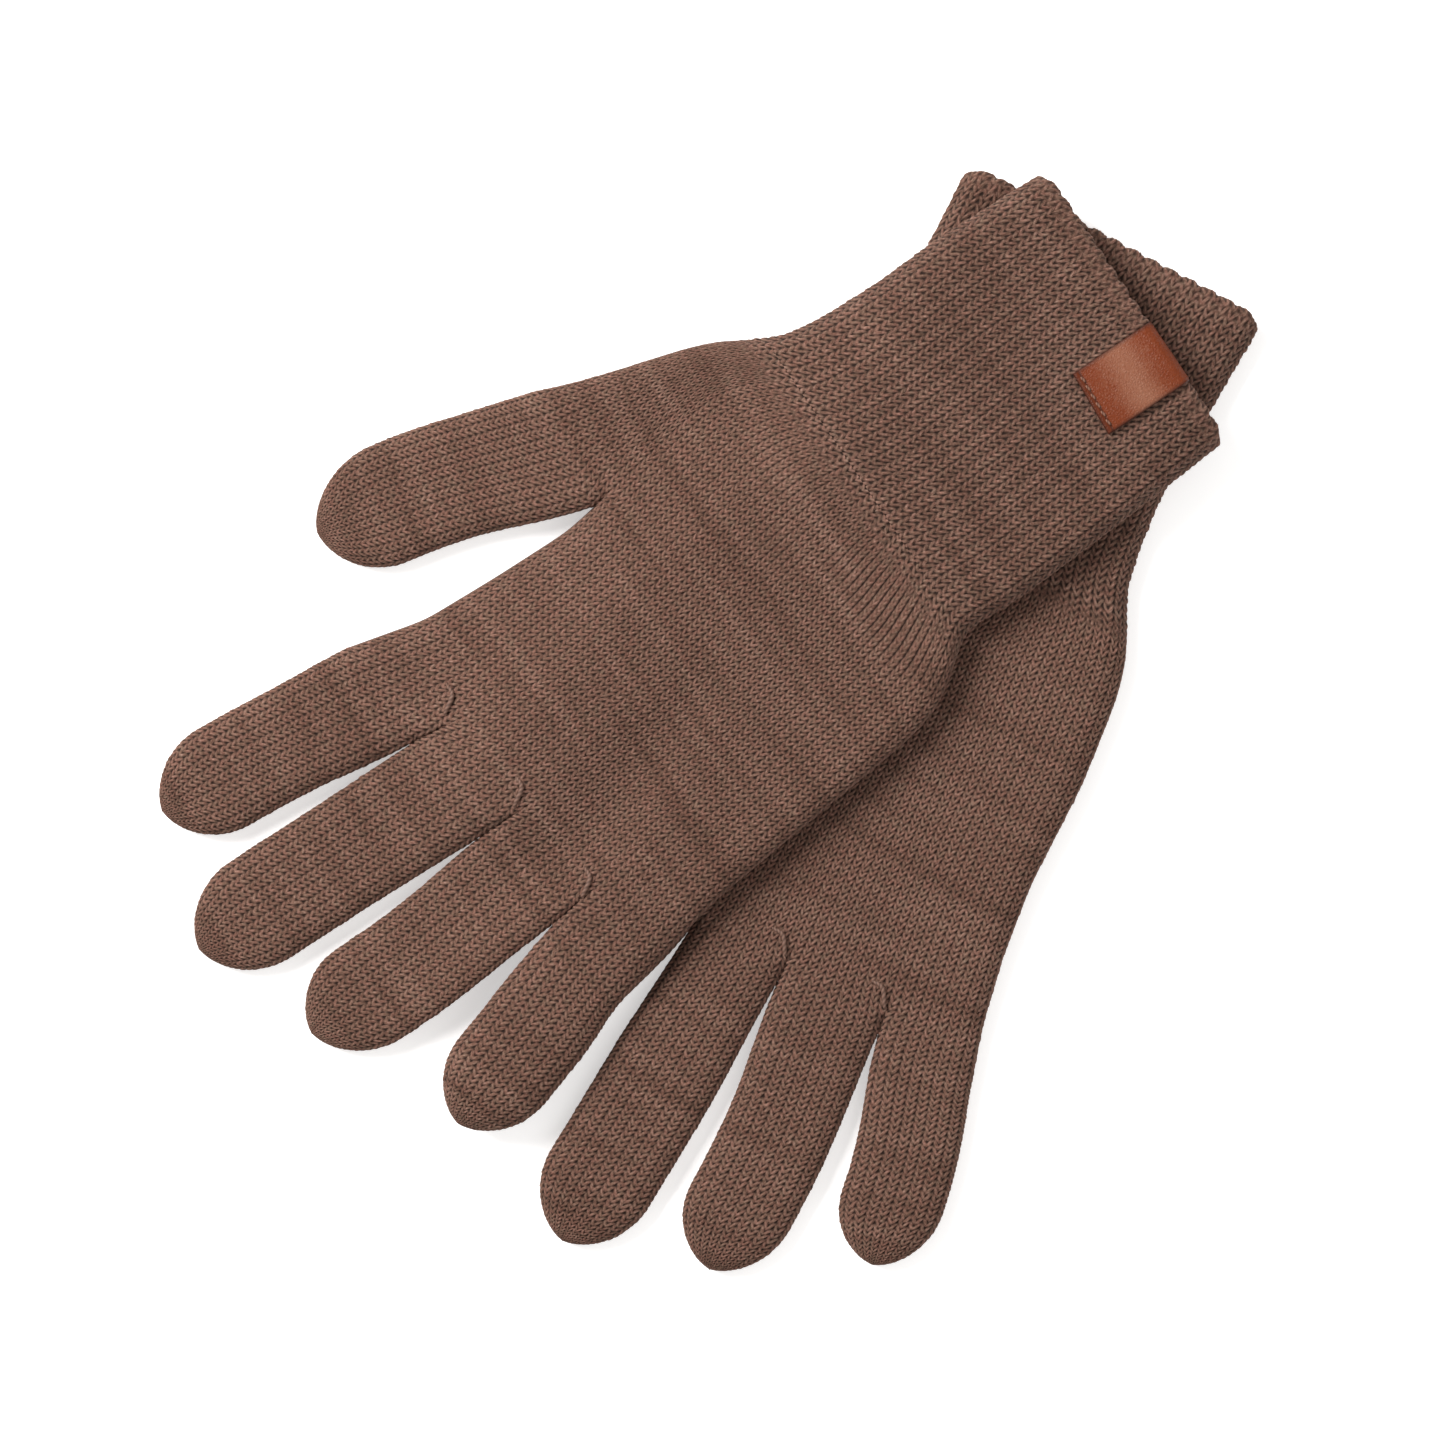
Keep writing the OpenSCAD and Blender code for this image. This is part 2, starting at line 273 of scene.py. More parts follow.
@dataclass(frozen=True)
class WoolFinish:
    """Heathered wool yarn, with painted shade down between the stitches.

    Args:
        name: the finish's name.
        shadow: the colour of the painted shade deep between the stitches.
        dark: the darkest fibres.
        middle: the commonest fibres.
        light: the pale fibres.
        palest: the few palest fibres.
        moss: what the greyer flecks are tinted by.
        gap: how strongly the painted shade between the stitches shows, from 0 to 1.
        strand_pitch: strands of fibre in one turn round the yarn, and along one leg of a stitch.
        shares: how much the stitch's tone, the strands, the flecks and the patches each count.
        shift: moves the whole mixture to paler fibres.
        fleck_scale: flecks of colour in a metre.
        patch_scale: broad patches of shade in a metre.
        moss_scale: greyer flecks in a metre.
        fuzz_scale: fibre ends in a metre.
        fuzz_height: how far the fibres stand out, in metres.
    """

    name: str
    shadow: Colour = (0.012, 0.0065, 0.0048)
    dark: Colour = (0.066, 0.027, 0.018)
    middle: Colour = (0.160, 0.074, 0.053)
    light: Colour = (0.268, 0.140, 0.106)
    palest: Colour = (0.39, 0.235, 0.19)
    moss: Colour = (0.78, 0.95, 0.90)
    gap: float = 0.95
    strand_pitch: tuple[float, float] = (7.0, 1.6)
    shares: tuple[float, float, float, float] = (0.045, 0.70, 0.50, 0.06)
    shift: float = -0.148
    fleck_scale: float = 1600.0
    patch_scale: float = 150.0
    moss_scale: float = 700.0
    fuzz_scale: float = 5200.0
    fuzz_height: float = 0.00022

    def material(self) -> bpy.types.Material:
        """Build the material and return it."""
        shop = NodeShop(self.name)
        where = shop.place()
        round_yarn, along_leg = self.strand_pitch
        strands = shop.noise(shop.vector(shop.attribute("yarn_girth") * round_yarn,
                                         shop.attribute("yarn_run") * along_leg), 1.0, 3.0)
        # painted shade: the near-black colour laid over the yarn where it lies deep between the stitches
        colour = shop.mix(self.fibres(shop, where, strands), self.shadow, self.gap * self.hollow_shade(shop))
        fuzz = shop.noise(where, self.fuzz_scale, 3.0)
        shop.surface(Base_Color=colour, Roughness=0.92, Specular_IOR_Level=0.18, Sheen_Weight=0.16,
                     Sheen_Roughness=0.5, Sheen_Tint=(0.75, 0.55, 0.46),
                     Normal=shop.bump(0.6 * strands + 0.4 * fuzz, self.fuzz_height))
        return shop.material

    def fibres(self, shop: NodeShop, where: Wire, strands: Wire) -> Wire:
        """Mix the colours of the fibres.

        Args:
            shop: the material's nodes.
            where: the place on the object.
            strands: the noise that runs along the yarn.

        Returns:
            The yarn's colour, before the painted shade between the stitches.
        """
        by_tone, by_strand, by_fleck, by_patch = self.shares
        fleck = shop.noise(where, self.fleck_scale, 3.0)
        patch = shop.noise(where, self.patch_scale, 3.0)
        tone = shop.attribute("yarn_tone")
        share = by_tone * tone + by_strand * strands + by_fleck * fleck + by_patch * patch + self.shift
        stops = ((0.26, self.dark), (0.46, self.middle), (0.62, self.light), (0.80, self.palest))
        greyed = shop.noise(where, self.moss_scale, 2.0) * 2.4 - 0.8
        return shop.mix(shop.ramp(share, stops), self.moss, greyed, Mixing.TIMES)

    def hollow_shade(self, shop: NodeShop) -> Wire:
        """Return how deep between the stitches a point lies, steepened and kept below 1, as the mask of the
        painted shade.
        """
        depth = shop.attribute("yarn_depth") ** 1.7
        return shop.node("ShaderNodeMath", {"operation": "MULTIPLY", "use_clamp": True}, {0: 1.75, 1: depth})


@dataclass(frozen=True)
class LeatherFinish:
    """Tanned cognac leather with a fine grain, burnished edges deepened by painted shade, and a painted
    highlight down its middle.

    Args:
        name: the finish's name.
        face: the colour of most of the leather.
        worn_and_sheen: the paler colour of wear and of the painted highlight down the middle.
        edge: the dark colour of its burnished cut edges, deepened by painted shade, and the painted shade in
            the sunk seam.
        cell_scale: cells of the grain in a metre.
        pore_scale: pores in a metre.
        cloud_scale: broad clouds of shade in a metre.
        grain_scale: the finest grains in a metre.
        grain_height: how far the grain stands out, in metres.
    """

    name: str = "cognac_leather"
    face: Colour = (0.150, 0.026, 0.004)
    worn_and_sheen: Colour = (0.255, 0.105, 0.060)
    edge: Colour = (0.030, 0.007, 0.003)
    cell_scale: float = 1500.0
    pore_scale: float = 1900.0
    cloud_scale: float = 130.0
    grain_scale: float = 2600.0
    grain_height: float = 0.00012

    def material(self) -> bpy.types.Material:
        """Build the material and return it."""
        shop = NodeShop(self.name)
        where = shop.place()
        cells = shop.node("ShaderNodeTexVoronoi", {"feature": "DISTANCE_TO_EDGE"},
                          {"Vector": where, "Scale": self.cell_scale}, "Distance")
        clouds = shop.noise(where, self.cloud_scale, 4.0)
        pores = shop.noise(where, self.pore_scale, 2.0)
        grain = shop.noise(where, self.grain_scale, 3.0)
        # painted highlight down the middle, with clouds and pores of paler wear
        sheen_and_wear = 0.85 * shop.attribute("leaf_middle") + 0.5 * clouds + 0.9 * pores - 0.78
        colour = shop.mix(self.face, self.worn_and_sheen, sheen_and_wear)
        # dark burnished cut edges deepened by painted shade, and painted shade in the sunk seam
        colour = shop.mix(colour, self.edge, shop.attribute("leaf_rim") ** 1.3 * 0.95)
        shop.surface(Base_Color=colour, Roughness=0.40 + 0.18 * grain, Specular_IOR_Level=0.22,
                     Normal=shop.bump(cells * 2.0 + 0.6 * grain, self.grain_height))
        return shop.material


@dataclass(frozen=True)
class ThreadFinish:
    """Thread or yarn, twisted from two plies, with painted shade between the plies.

    Args:
        name: the finish's name.
        light: the colour on the crest of a ply.
        dark: the colour of the painted shade between the plies.
        fibre_scale: fibres in a metre.
        ply_height: how far a ply stands out, in metres.
    """

    name: str = "waxed_thread"
    light: Colour = (0.24, 0.115, 0.075)
    dark: Colour = (0.07, 0.026, 0.016)
    fibre_scale: float = 6000.0
    ply_height: float = 0.00006

    def material(self) -> bpy.types.Material:
        """Build the material and return it."""
        shop = NodeShop(self.name)
        twist = shop.attribute("twist") * (2.0 * math.pi)
        ply = shop.node("ShaderNodeMath", {"operation": "SINE"}, {0: twist}) * 0.5 + 0.5
        fibres = shop.noise(shop.place(), self.fibre_scale)
        # painted shade: dark between the plies, light on each ply's crest
        colour = shop.mix(self.dark, self.light, 0.7 * ply + 0.3 * fibres)
        shop.surface(Base_Color=colour, Roughness=0.62, Specular_IOR_Level=0.35,
                     Normal=shop.bump(ply + 0.3 * fibres, self.ply_height))
        return shop.material


# --------------------------------------------------------------------------- placing


@dataclass(frozen=True)
class Lay:
    """Where a glove's plan lies on the table.

    Args:
        origin: the plan's origin in the shared frame, in millimetres.
        angle: how far the plan is turned anticlockwise, in radians.
    """

    origin: tuple[float, float]
    angle: float

    @classmethod
    def through(cls, name: str, plan_point: tuple[float, float], sign: float = 1.0) -> "Lay":
        """Work out the lay from a joint and the plan point that its pivot stands for.

        Args:
            name: the joint, whose axis runs along the plan's X.
            plan_point: the pivot's place in the glove's plan.
            sign: -1 where the axis points the other way.

        Returns:
            The lay that puts the plan point on the joint.
        """
        axis, pivot = joint(name)["axis"], joint(name)["pos_m"]
        angle = math.atan2(sign * axis[1], sign * axis[0])
        c, s = math.cos(angle), math.sin(angle)
        x, y = plan_point
        return cls((pivot[0] / MM - c * x + s * y, pivot[1] / MM - s * x - c * y), angle)

    def place(self, plan: np.ndarray) -> np.ndarray:
        """Bring points of the plan into the shared frame.

        Args:
            plan: the points, an array whose last axis is x and y.

        Returns:
            Their places in the shared frame, in millimetres.
        """
        c, s = math.cos(self.angle), math.sin(self.angle)
        x = self.origin[0] + c * plan[..., 0] - s * plan[..., 1]
        y = self.origin[1] + s * plan[..., 0] + c * plan[..., 1]
        return np.stack([x, y], axis=-1)


@dataclass
class HeightMap:
    """Heights over the table on a square grid, which the upper glove drapes over.

    Args:
        low: the grid's lowest corner, in millimetres.
        high: its highest corner.
        cell: the grid's spacing.
        z: the heights, in millimetres.
    """

    low: tuple[float, float]
    high: tuple[float, float]
    cell: float = 2.0
    z: np.ndarray = field(init=False)

    def __post_init__(self) -> None:
        """Start from an empty table."""
        nx = int((self.high[0] - self.low[0]) / self.cell) + 1
        ny = int((self.high[1] - self.low[1]) / self.cell) + 1
        self.z = np.zeros((nx, ny))

    def raise_to(self, points: np.ndarray) -> None:
        """Lift the map to points of the pieces below.

        Args:
            points: an array of x, y and z, in millimetres.
        """
        cells = np.rint((points[:, :2] - np.array(self.low, points.dtype)) / self.cell).astype(int)
        cells = np.clip(cells, 0, np.array(self.z.shape) - 1)
        np.maximum.at(self.z, (cells[:, 0], cells[:, 1]), points[:, 2])

    def relax(self, slope: float, reach: int, rounds: int) -> None:
        """Turn the heights into a cloth's drape, which bridges hollows and falls off gently.

        Args:
            slope: the steepest fall of the cloth, as height over distance.
            reach: over how many cells it may fall.
            rounds: how many times the folds are smoothed.
        """
        floor = self.z.copy()
        drop = slope * self.cell
        for _ in range(reach):
            for axis in (0, 1):
                for step in (-1, 1):
                    self.z = np.maximum(self.z, np.roll(self.z, step, axis) - drop)
        for _ in range(rounds):
            self.z = np.maximum(self.blurred(), floor)
        for _ in range(rounds // 3):
            self.z = self.blurred()

    def blurred(self) -> np.ndarray:
        """Return the mean of each cell and its four neighbours."""
        near = sum(np.roll(self.z, step, axis) for axis in (0, 1) for step in (-1, 1))
        return 0.2 * self.z + 0.2 * near

    def at(self, xy: np.ndarray) -> np.ndarray:
        """Work out heights by straight lines between the grid's nodes.

        Args:
            xy: points, an array whose last axis is x and y.

        Returns:
            The height under each point.
        """
        just_inside = 1.001  # so that a point on the last line still has a next cell
        fx = np.clip((xy[..., 0] - self.low[0]) / self.cell, 0, self.z.shape[0] - just_inside)
        fy = np.clip((xy[..., 1] - self.low[1]) / self.cell, 0, self.z.shape[1] - just_inside)
        i, j = fx.astype(int), fy.astype(int)
        a, b = fx - i, fy - j
        return ((1 - a) * (1 - b) * self.z[i, j] + a * (1 - b) * self.z[i + 1, j]
                + (1 - a) * b * self.z[i, j + 1] + a * b * self.z[i + 1, j + 1])


# --------------------------------------------------------------------------- meshes


@dataclass
class Sheet:
    """A grid of points, in millimetres, with numbers kept on each.

    Args:
        points: rows by columns by three.
        values: numbers on the points, by name.
        face: which way its faces look; the lower sheet's are turned over.
    """

    points: np.ndarray
    values: Values
    face: Face = Face.UPPER

    def part(self, rows: slice, columns: slice = slice(None)) -> "Sheet":
        """Return the part of the sheet in a range of rows and columns."""
        values = {key: numbers[rows, columns] for key, numbers in self.values.items()}
        return Sheet(self.points[rows, columns], values, self.face)


def normals(points: np.ndarray) -> np.ndarray:
    """Return a grid's unit normals, which look up where its rows run away and its columns run right."""
    return unit(np.cross(np.gradient(points, axis=1), np.gradient(points, axis=0)))


def weld(points: np.ndarray, grain: float = 0.002) -> tuple[np.ndarray, np.ndarray]:
    """Find the points that lie together.

    Args:
        points: an array of x, y and z.
        grain: how near counts as together.

    Returns:
        Which points to keep, and for each point the kept one that it became.
    """
    keys = np.rint(points / grain).astype(np.int64) + (1 << (KEY_BITS - 1))
    code = (keys[:, 0] << (2 * KEY_BITS)) + (keys[:, 1] << KEY_BITS) + keys[:, 2]
    _, keep, back = np.unique(code, return_index=True, return_inverse=True)
    return keep, back.ravel()


def clean_faces(quads: np.ndarray) -> tuple[np.ndarray, np.ndarray]:
    """Make triangles of the quads that lost a corner in a weld, and drop those that lost their area.

    Args:
        quads: each face's four corners.

    Returns:
        The faces' corners end to end, and how many corners each face has.
    """
    same = quads == np.roll(quads, -1, axis=1)
    flat = (quads[:, 0] == quads[:, 2]) | (quads[:, 1] == quads[:, 3])
    whole = quads[(same.sum(axis=1) == 0) & ~flat]
    folded = (same.sum(axis=1) == 1) & ~flat
    triples = quads[folded][~same[folded]].reshape(-1, 3)
    sizes = np.repeat([4, 3], [len(whole), len(triples)])
    return np.concatenate([whole.ravel(), triples.ravel()]), sizes


def build_mesh(name: str, sheets: Iterable[Sheet]) -> bpy.types.Object:
    """Weld sheets into one smooth mesh.

    Args:
        name: the piece's name.
        sheets: the grids to join, in the shared frame.

    Returns:
        The new object, in metres.
    """
    verts, quads, first = [], [], 0
    values: dict[str, list[np.ndarray]] = {}
    for sheet in sheets:
        rows, cols = sheet.points.shape[:2]
        index = first + np.arange(rows * cols).reshape(rows, cols)
        a, b = index[:-1, :-1].ravel(), index[:-1, 1:].ravel()
        c, d = index[1:, 1:].ravel(), index[1:, :-1].ravel()
        quads.append(np.stack([a, b, c, d] if sheet.face is Face.UPPER else [a, d, c, b], axis=1))
        verts.append(sheet.points.reshape(-1, 3))
        for key, numbers in sheet.values.items():
            values.setdefault(key, []).append(numbers.ravel())
        first += rows * cols
    points = np.concatenate(verts)
    keep, back = weld(points)
    corners, sizes = clean_faces(back[np.concatenate(quads)])
    used, corners = np.unique(corners, return_inverse=True)
    starts = np.concatenate([[0], np.cumsum(sizes)[:-1]])
    mesh = bpy.data.meshes.new(name)
    mesh.vertices.add(len(used))
    mesh.vertices.foreach_set("co", (points[keep][used] * MM).astype(np.float32).ravel())
    mesh.loops.add(len(corners))
    mesh.loops.foreach_set("vertex_index", corners.ravel().astype(np.int32))
    mesh.polygons.add(len(sizes))
    mesh.polygons.foreach_set("loop_start", starts.astype(np.int32))
    mesh.update(calc_edges=True)
    mesh.polygons.foreach_set("use_smooth", np.ones(len(sizes), dtype=bool))
    for key, numbers in values.items():
        attribute = mesh.attributes.new(key, "FLOAT", "POINT")
        attribute.data.foreach_set("value", np.concatenate(numbers)[keep][used].astype(np.float32))
    mesh.validate()
    obj = bpy.data.objects.new(name, mesh)
    bpy.context.scene.collection.objects.link(obj)
    return obj


def tube(path: np.ndarray, radius: np.ndarray, around: int, turns: float) -> Sheet:
    """Return a round tube along a path, closed where its radius goes to 0.

    Args:
        path: its middle line, in the shared frame.
        radius: its radius at each point.
        around: how many sides it has.
        turns: how many times its plies twist over its length.

    Returns:
        The tube as one sheet, whose last column is its first.
    """
    off_upright = 0.01  # so that a path that climbs straight up still has a side
    way = unit(np.gradient(path, axis=0))
    side = unit(np.cross(way, np.array([0.0, 0.0, 1.0]) + off_upright))
    up = np.cross(side, way)
    angle = np.linspace(0.0, 2.0 * math.pi, around + 1)
    angle[-1] = 0.0
    across, over = np.cos(angle)[None, :, None], np.sin(angle)[None, :, None]
    ring = side[:, None, :] * across + up[:, None, :] * over
    points = path[:, None, :] + ring * radius[:, None, None]
    plies = 2
    twist = turns * np.linspace(0, 1, len(path))[:, None] + np.linspace(0, plies, around + 1)[None, :]
    return Sheet(points, {"twist": twist}, Face.LOWER)


def smooth_line(points: Points, at: np.ndarray, blur: float = 2.5) -> np.ndarray:
    """Return x at each y on a line through a few points, whose corners are rounded.

    Args:
        points: the line's points, each an x and a y, in rising y.
        at: where x is wanted.
        blur: the rounding's spread, in millimetres.

    Returns:
        The x at each y, along the line's straight continuation beyond its ends.
    """
    ys = np.array([p[1] for p in points], float)
    xs = np.array([p[0] for p in points], float)
    reach = np.arange(-BLUR_REACH * blur, BLUR_REACH * blur + BLUR_STEP, BLUR_STEP)
    weight = np.exp(-0.5 * (reach / blur) ** 2)
    near = at[:, None] + reach[None, :]
    line = np.interp(near, ys, xs)
    line += np.minimum(near - ys[0], 0.0) * (xs[1] - xs[0]) / (ys[1] - ys[0])
    line += np.maximum(near - ys[-1], 0.0) * (xs[-1] - xs[-2]) / (ys[-1] - ys[-2])
    return line @ (weight / weight.sum())


# --------------------------------------------------------------------------- knitting

WALE_STEPS = 8  # columns of the mesh in one wale
COURSE_STEPS = 5  # rows of the mesh in one course
WALE_PITCH = 2.25  # millimetres
SECTION_STEPS = 700  # samples across a tube, from which its columns are spaced
SIDE_HEIGHT = 0.42  # how high a flattened tube's sides lie, as a share of its height
UNDER_STEP = 2  # the underside keeps every second column
UNDER_RELIEF = 0.45  # and so much of the stitches' relief
EDGE_FADE = 0.25  # the fullness at which the stitches have their full relief
PUFF = 0.03  # how much the hand's fullness wanders
PUFF_WAVES = (0.11, 0.083)  # and how fast, in radians a millimetre
TABLE = 256  # stitches each way before the random unevenness comes again
STREAK_REACHES = (9, 16)  # how many legs a streak of shade is spread over, twice
NEXT_ROW = 0.45  # how much of a streak shows in the next row


def long_streaks(noise: np.ndarray) -> np.ndarray:
    """Return noise drawn out along the rows of stitches, as a yarn's shade runs, at an even spread."""
    for reach in STREAK_REACHES:
        noise = sum(np.roll(noise, step, 1) for step in range(-reach, reach + 1))
    noise = noise + NEXT_ROW * np.roll(noise, 1, 0)
    return 0.5 + 0.5 * noise / noise.std()


@dataclass(frozen=True)
class Knit:
    """A knit's stitch: two slanting legs a wale, which lean in to the wale's middle as they rise.

    Args:
        course: height of one row of stitches.
        relief: how far the legs stand proud.
        rise: how many courses a leg climbs from the wale's edge to its middle.
        rib: extra height of a rib between its grooves, 0 on a plain knit.
        recess: how much lower the legs are between the ribs.
        shallow: how much of a leg's height stays at every odd groove between wales.
        deep: how much stays at every even one, down the middle of a rib.
        bridge: how much of a leg's height fills the gap to the next leg, halfway up.
        uneven: how far the stitches slip up or down, in courses.
        plump: how much the stitches differ in height, as a share of it.
        round_leg: the power that a leg's round profile is raised to.
        full_by: how far in from a groove a leg has its full height, as a share of its width.
    """

    course: float
    relief: float = 0.58
    rise: float = 0.95
    rib: float = 0.0
    recess: float = 0.0
    shallow: float = 0.6
    deep: float = 0.6
    bridge: float = 0.5
    uneven: float = 0.09
    plump: float = 0.14
    round_leg: float = 0.95
    full_by: float = 0.4

    def stitches(self, wale: np.ndarray, row: np.ndarray, salt: int,
                 gather: "np.ndarray | float" = 0.0) -> tuple[np.ndarray, Values]:
        """Work out the relief of a grid of points.

        Args:
            wale: each point's place across, counted in wales.
            row: its place along, counted in courses.
            salt: picks the random unevenness of this piece.
            gather: how much the wales are squeezed into ridges, from 0 to 1.

        Returns:
            The height over the fabric, and the numbers that the wool's finish reads.
        """
        rng = np.random.default_rng(SEED + salt)
        drift = rng.normal(0.0, self.uneven, (TABLE, TABLE))
        plump = 1.0 + self.plump * rng.normal(size=(TABLE, TABLE))
        tones = long_streaks(rng.normal(size=(TABLE, TABLE)))
        column = np.floor(wale + 1e-6).astype(int)
        across = wale - column
        inward = np.clip(1.0 - np.abs(2.0 * across - 1.0), 0.0, 1.0)
        leg = (2 * column + (across > 0.5)) % TABLE
        below = np.floor(row).astype(int)
        share = row - below
        slip = drift[below % TABLE, leg] * (1.0 - share) + drift[(below + 1) % TABLE, leg] * share
        climb = row + slip - self.rise * inward
        stitch = np.floor(climb).astype(int)
        along = climb - stitch
        stitch = stitch % TABLE
        saddle = self.bridge * np.sin(math.pi * inward) ** 1.5
        ridge = saddle + (1.0 - saddle) * (0.5 - 0.5 * np.cos(2.0 * math.pi * along)) ** self.round_leg
        ridge = ridge + (0.8 - ridge) * 0.6 * gather  # squeezed wales lose their stitches
        on_rib = 0.5 + 0.5 * np.cos(math.pi * wale)
        kept = (self.shallow + (self.deep - self.shallow) * on_rib) * (1.0 - 0.9 * gather)
        bold = 1.0 - self.recess * (1.0 - on_rib)
        height = ridge * bold * (kept + (1.0 - kept) * ease(inward / self.full_by))
        leg_gap = 3.7  # sets the fibres of neighbouring legs apart
        # yarn_depth is the mask of the wool's painted shade between the stitches
        values = {"yarn_depth": np.clip(1.0 - height, 0.0, 1.0), "yarn_tone": tones[stitch, leg],
                  "yarn_girth": climb, "yarn_run": inward + leg_gap * leg}
        return self.relief * height * plump[stitch, leg] + self.rib * on_rib, values


PLAIN = Knit(course=1.65)
RIB = Knit(course=1.8, relief=0.62, rib=0.3, recess=0.2, shallow=0.85, deep=0.48)
RIB_SALT = 90  # added to a glove's salt on its cuff
RIGHT_SALT = 500  # the right glove's salt
FINGER_COURSE = 1.55  # millimetres
TIP_STRETCH = 1.28  # a fingertip's length over half its width
TIP_TAPER = 1.2  # the power that a fingertip's outline is raised to
FINGER_FOLD = 15.0  # over how many millimetres a digit bends
CUFF_FOLD = 16.0  # over how many the cuff does


@dataclass
class Strip:
    """One strip of a flattened tube, as a grid in plan.

    Args:
        plan: each point's x and y.
        full: how full the tube is there, from 0 at an edge or crease to 1.
        height: each row's full height.
        rows: each row's place, in courses.
        wales: each column's place, in wales.
    """

    plan: np.ndarray
    full: np.ndarray
    height: np.ndarray
    rows: np.ndarray
    wales: np.ndarray

    def grown(self, other: "Strip") -> "Strip":
        """Return this strip with another that goes on from its last row."""
        return Strip(np.concatenate([self.plan, other.plan[1:]]),
                     np.concatenate([self.full, other.full[1:]]),
                     np.concatenate([self.height, other.height[1:]]),
                     np.concatenate([self.rows, self.rows[-1] + other.rows[1:]]), self.wales)

    def part(self, rows: "slice | np.ndarray") -> "Strip":
        """Return the strip's rows in a range, or those that an array of numbers picks."""
        return Strip(self.plan[rows], self.full[rows], self.height[rows], self.rows[rows], self.wales)

    def first_rows(self, count: int) -> "Strip":
        """Return the strip's first rows; where it has too few, its last row is repeated."""
        return self.part(np.minimum(np.arange(count), len(self.rows) - 1))


@dataclass
class Section:
    """The flattened tube across a set of rows, cut into strips that meet at edges or creases.

    Args:
        left: each row's left end, an array of x and y.
        middle: each row's bend, where the thumb's root starts.
        right: its right end.
        cuts: for each strip boundary, how far along each row it lies, from 0 to 1.
        pinch: for each boundary, how much it is pressed to the side's height, from 0 to 1.
        wales: how many wales each strip has.
        height: each row's full height.
        crowns: for each boundary, how far from it the upper side is rounded.
    """

    left: np.ndarray
    middle: np.ndarray
    right: np.ndarray
    cuts: list[np.ndarray]
    pinch: list[np.ndarray]
    wales: list[int]
    height: np.ndarray
    crowns: list[np.ndarray]

    def strips(self, rows: np.ndarray) -> list[Strip]:
        """Lay out each strip's columns at even steps round the upper surface.

        Args:
            rows: each row's place, in courses.

        Returns:
            The strips from left to right.
        """
        first = np.linalg.norm(self.middle - self.left, axis=1)
        width = first + np.linalg.norm(self.right - self.middle, axis=1)
        fine = np.linspace(0.0, 1.0, SECTION_STEPS)
        full = self.fullness(np.broadcast_to(fine, (len(width), fine.size)), width)
        lift = np.diff(full, axis=1) * (self.height * (1.0 - SIDE_HEIGHT))[:, None]
        run = np.diff(fine)[None, :] * width[:, None]
        arc = np.concatenate([np.zeros((len(width), 1)), np.cumsum(np.hypot(run, lift), axis=1)], axis=1)
        out, start = [], 0
        for k, count in enumerate(self.wales):
            steps = np.linspace(0.0, 1.0, count * WALE_STEPS + 1)
            place = np.empty((len(width), steps.size))
            for i in range(len(width)):
                a, b = np.interp((self.cuts[k][i], self.cuts[k + 1][i]), fine, arc[i])
                place[i] = np.interp(a + (b - a) * steps, arc[i], fine)
                place[i, 0], place[i, -1] = self.cuts[k][i], self.cuts[k + 1][i]
            bend = (first / width)[:, None]
            before = np.clip(place / np.maximum(bend, TINY), 0.0, 1.0)[..., None]
            after = np.clip((place - bend) / np.maximum(1.0 - bend, TINY), 0.0, 1.0)[..., None]
            plan = (self.left[:, None, :] + (self.middle - self.left)[:, None, :] * before
                    + (self.right - self.middle)[:, None, :] * after)
            wales = start + np.arange(count * WALE_STEPS + 1) / WALE_STEPS
            out.append(Strip(plan, self.fullness(place, width), self.height, rows, wales))
            start += count
        return out

    def fullness(self, place: np.ndarray, width: np.ndarray) -> np.ndarray:
        """Work out how full the section is.

        Args:
            place: places along each row, from 0 to 1.
            width: each row's width.

        Returns:
            The fullness at each place, from 0 at an edge to 1.
        """
        full = np.ones(place.shape)
        for cut, pinch, crown in zip(self.cuts, self.pinch, self.crowns):
            away = np.abs(place - cut[:, None]) * width[:, None] / crown[:, None]
            full = full * (1.0 - pinch[:, None] * (1.0 - bulge(away)))
        return full


# --------------------------------------------------------------------------- the gloves


@dataclass(frozen=True)
class DigitPlan:
    """A digit in plan.

    Args:
        name: which digit it is.
        tip: where it ends.
        width: its width before the tip.
        wales: how many wales each face has.
        bow: how far its middle bows to the right.
    """

    name: str
    tip: tuple[float, float]
    width: float
    wales: int
    bow: float = 0.0


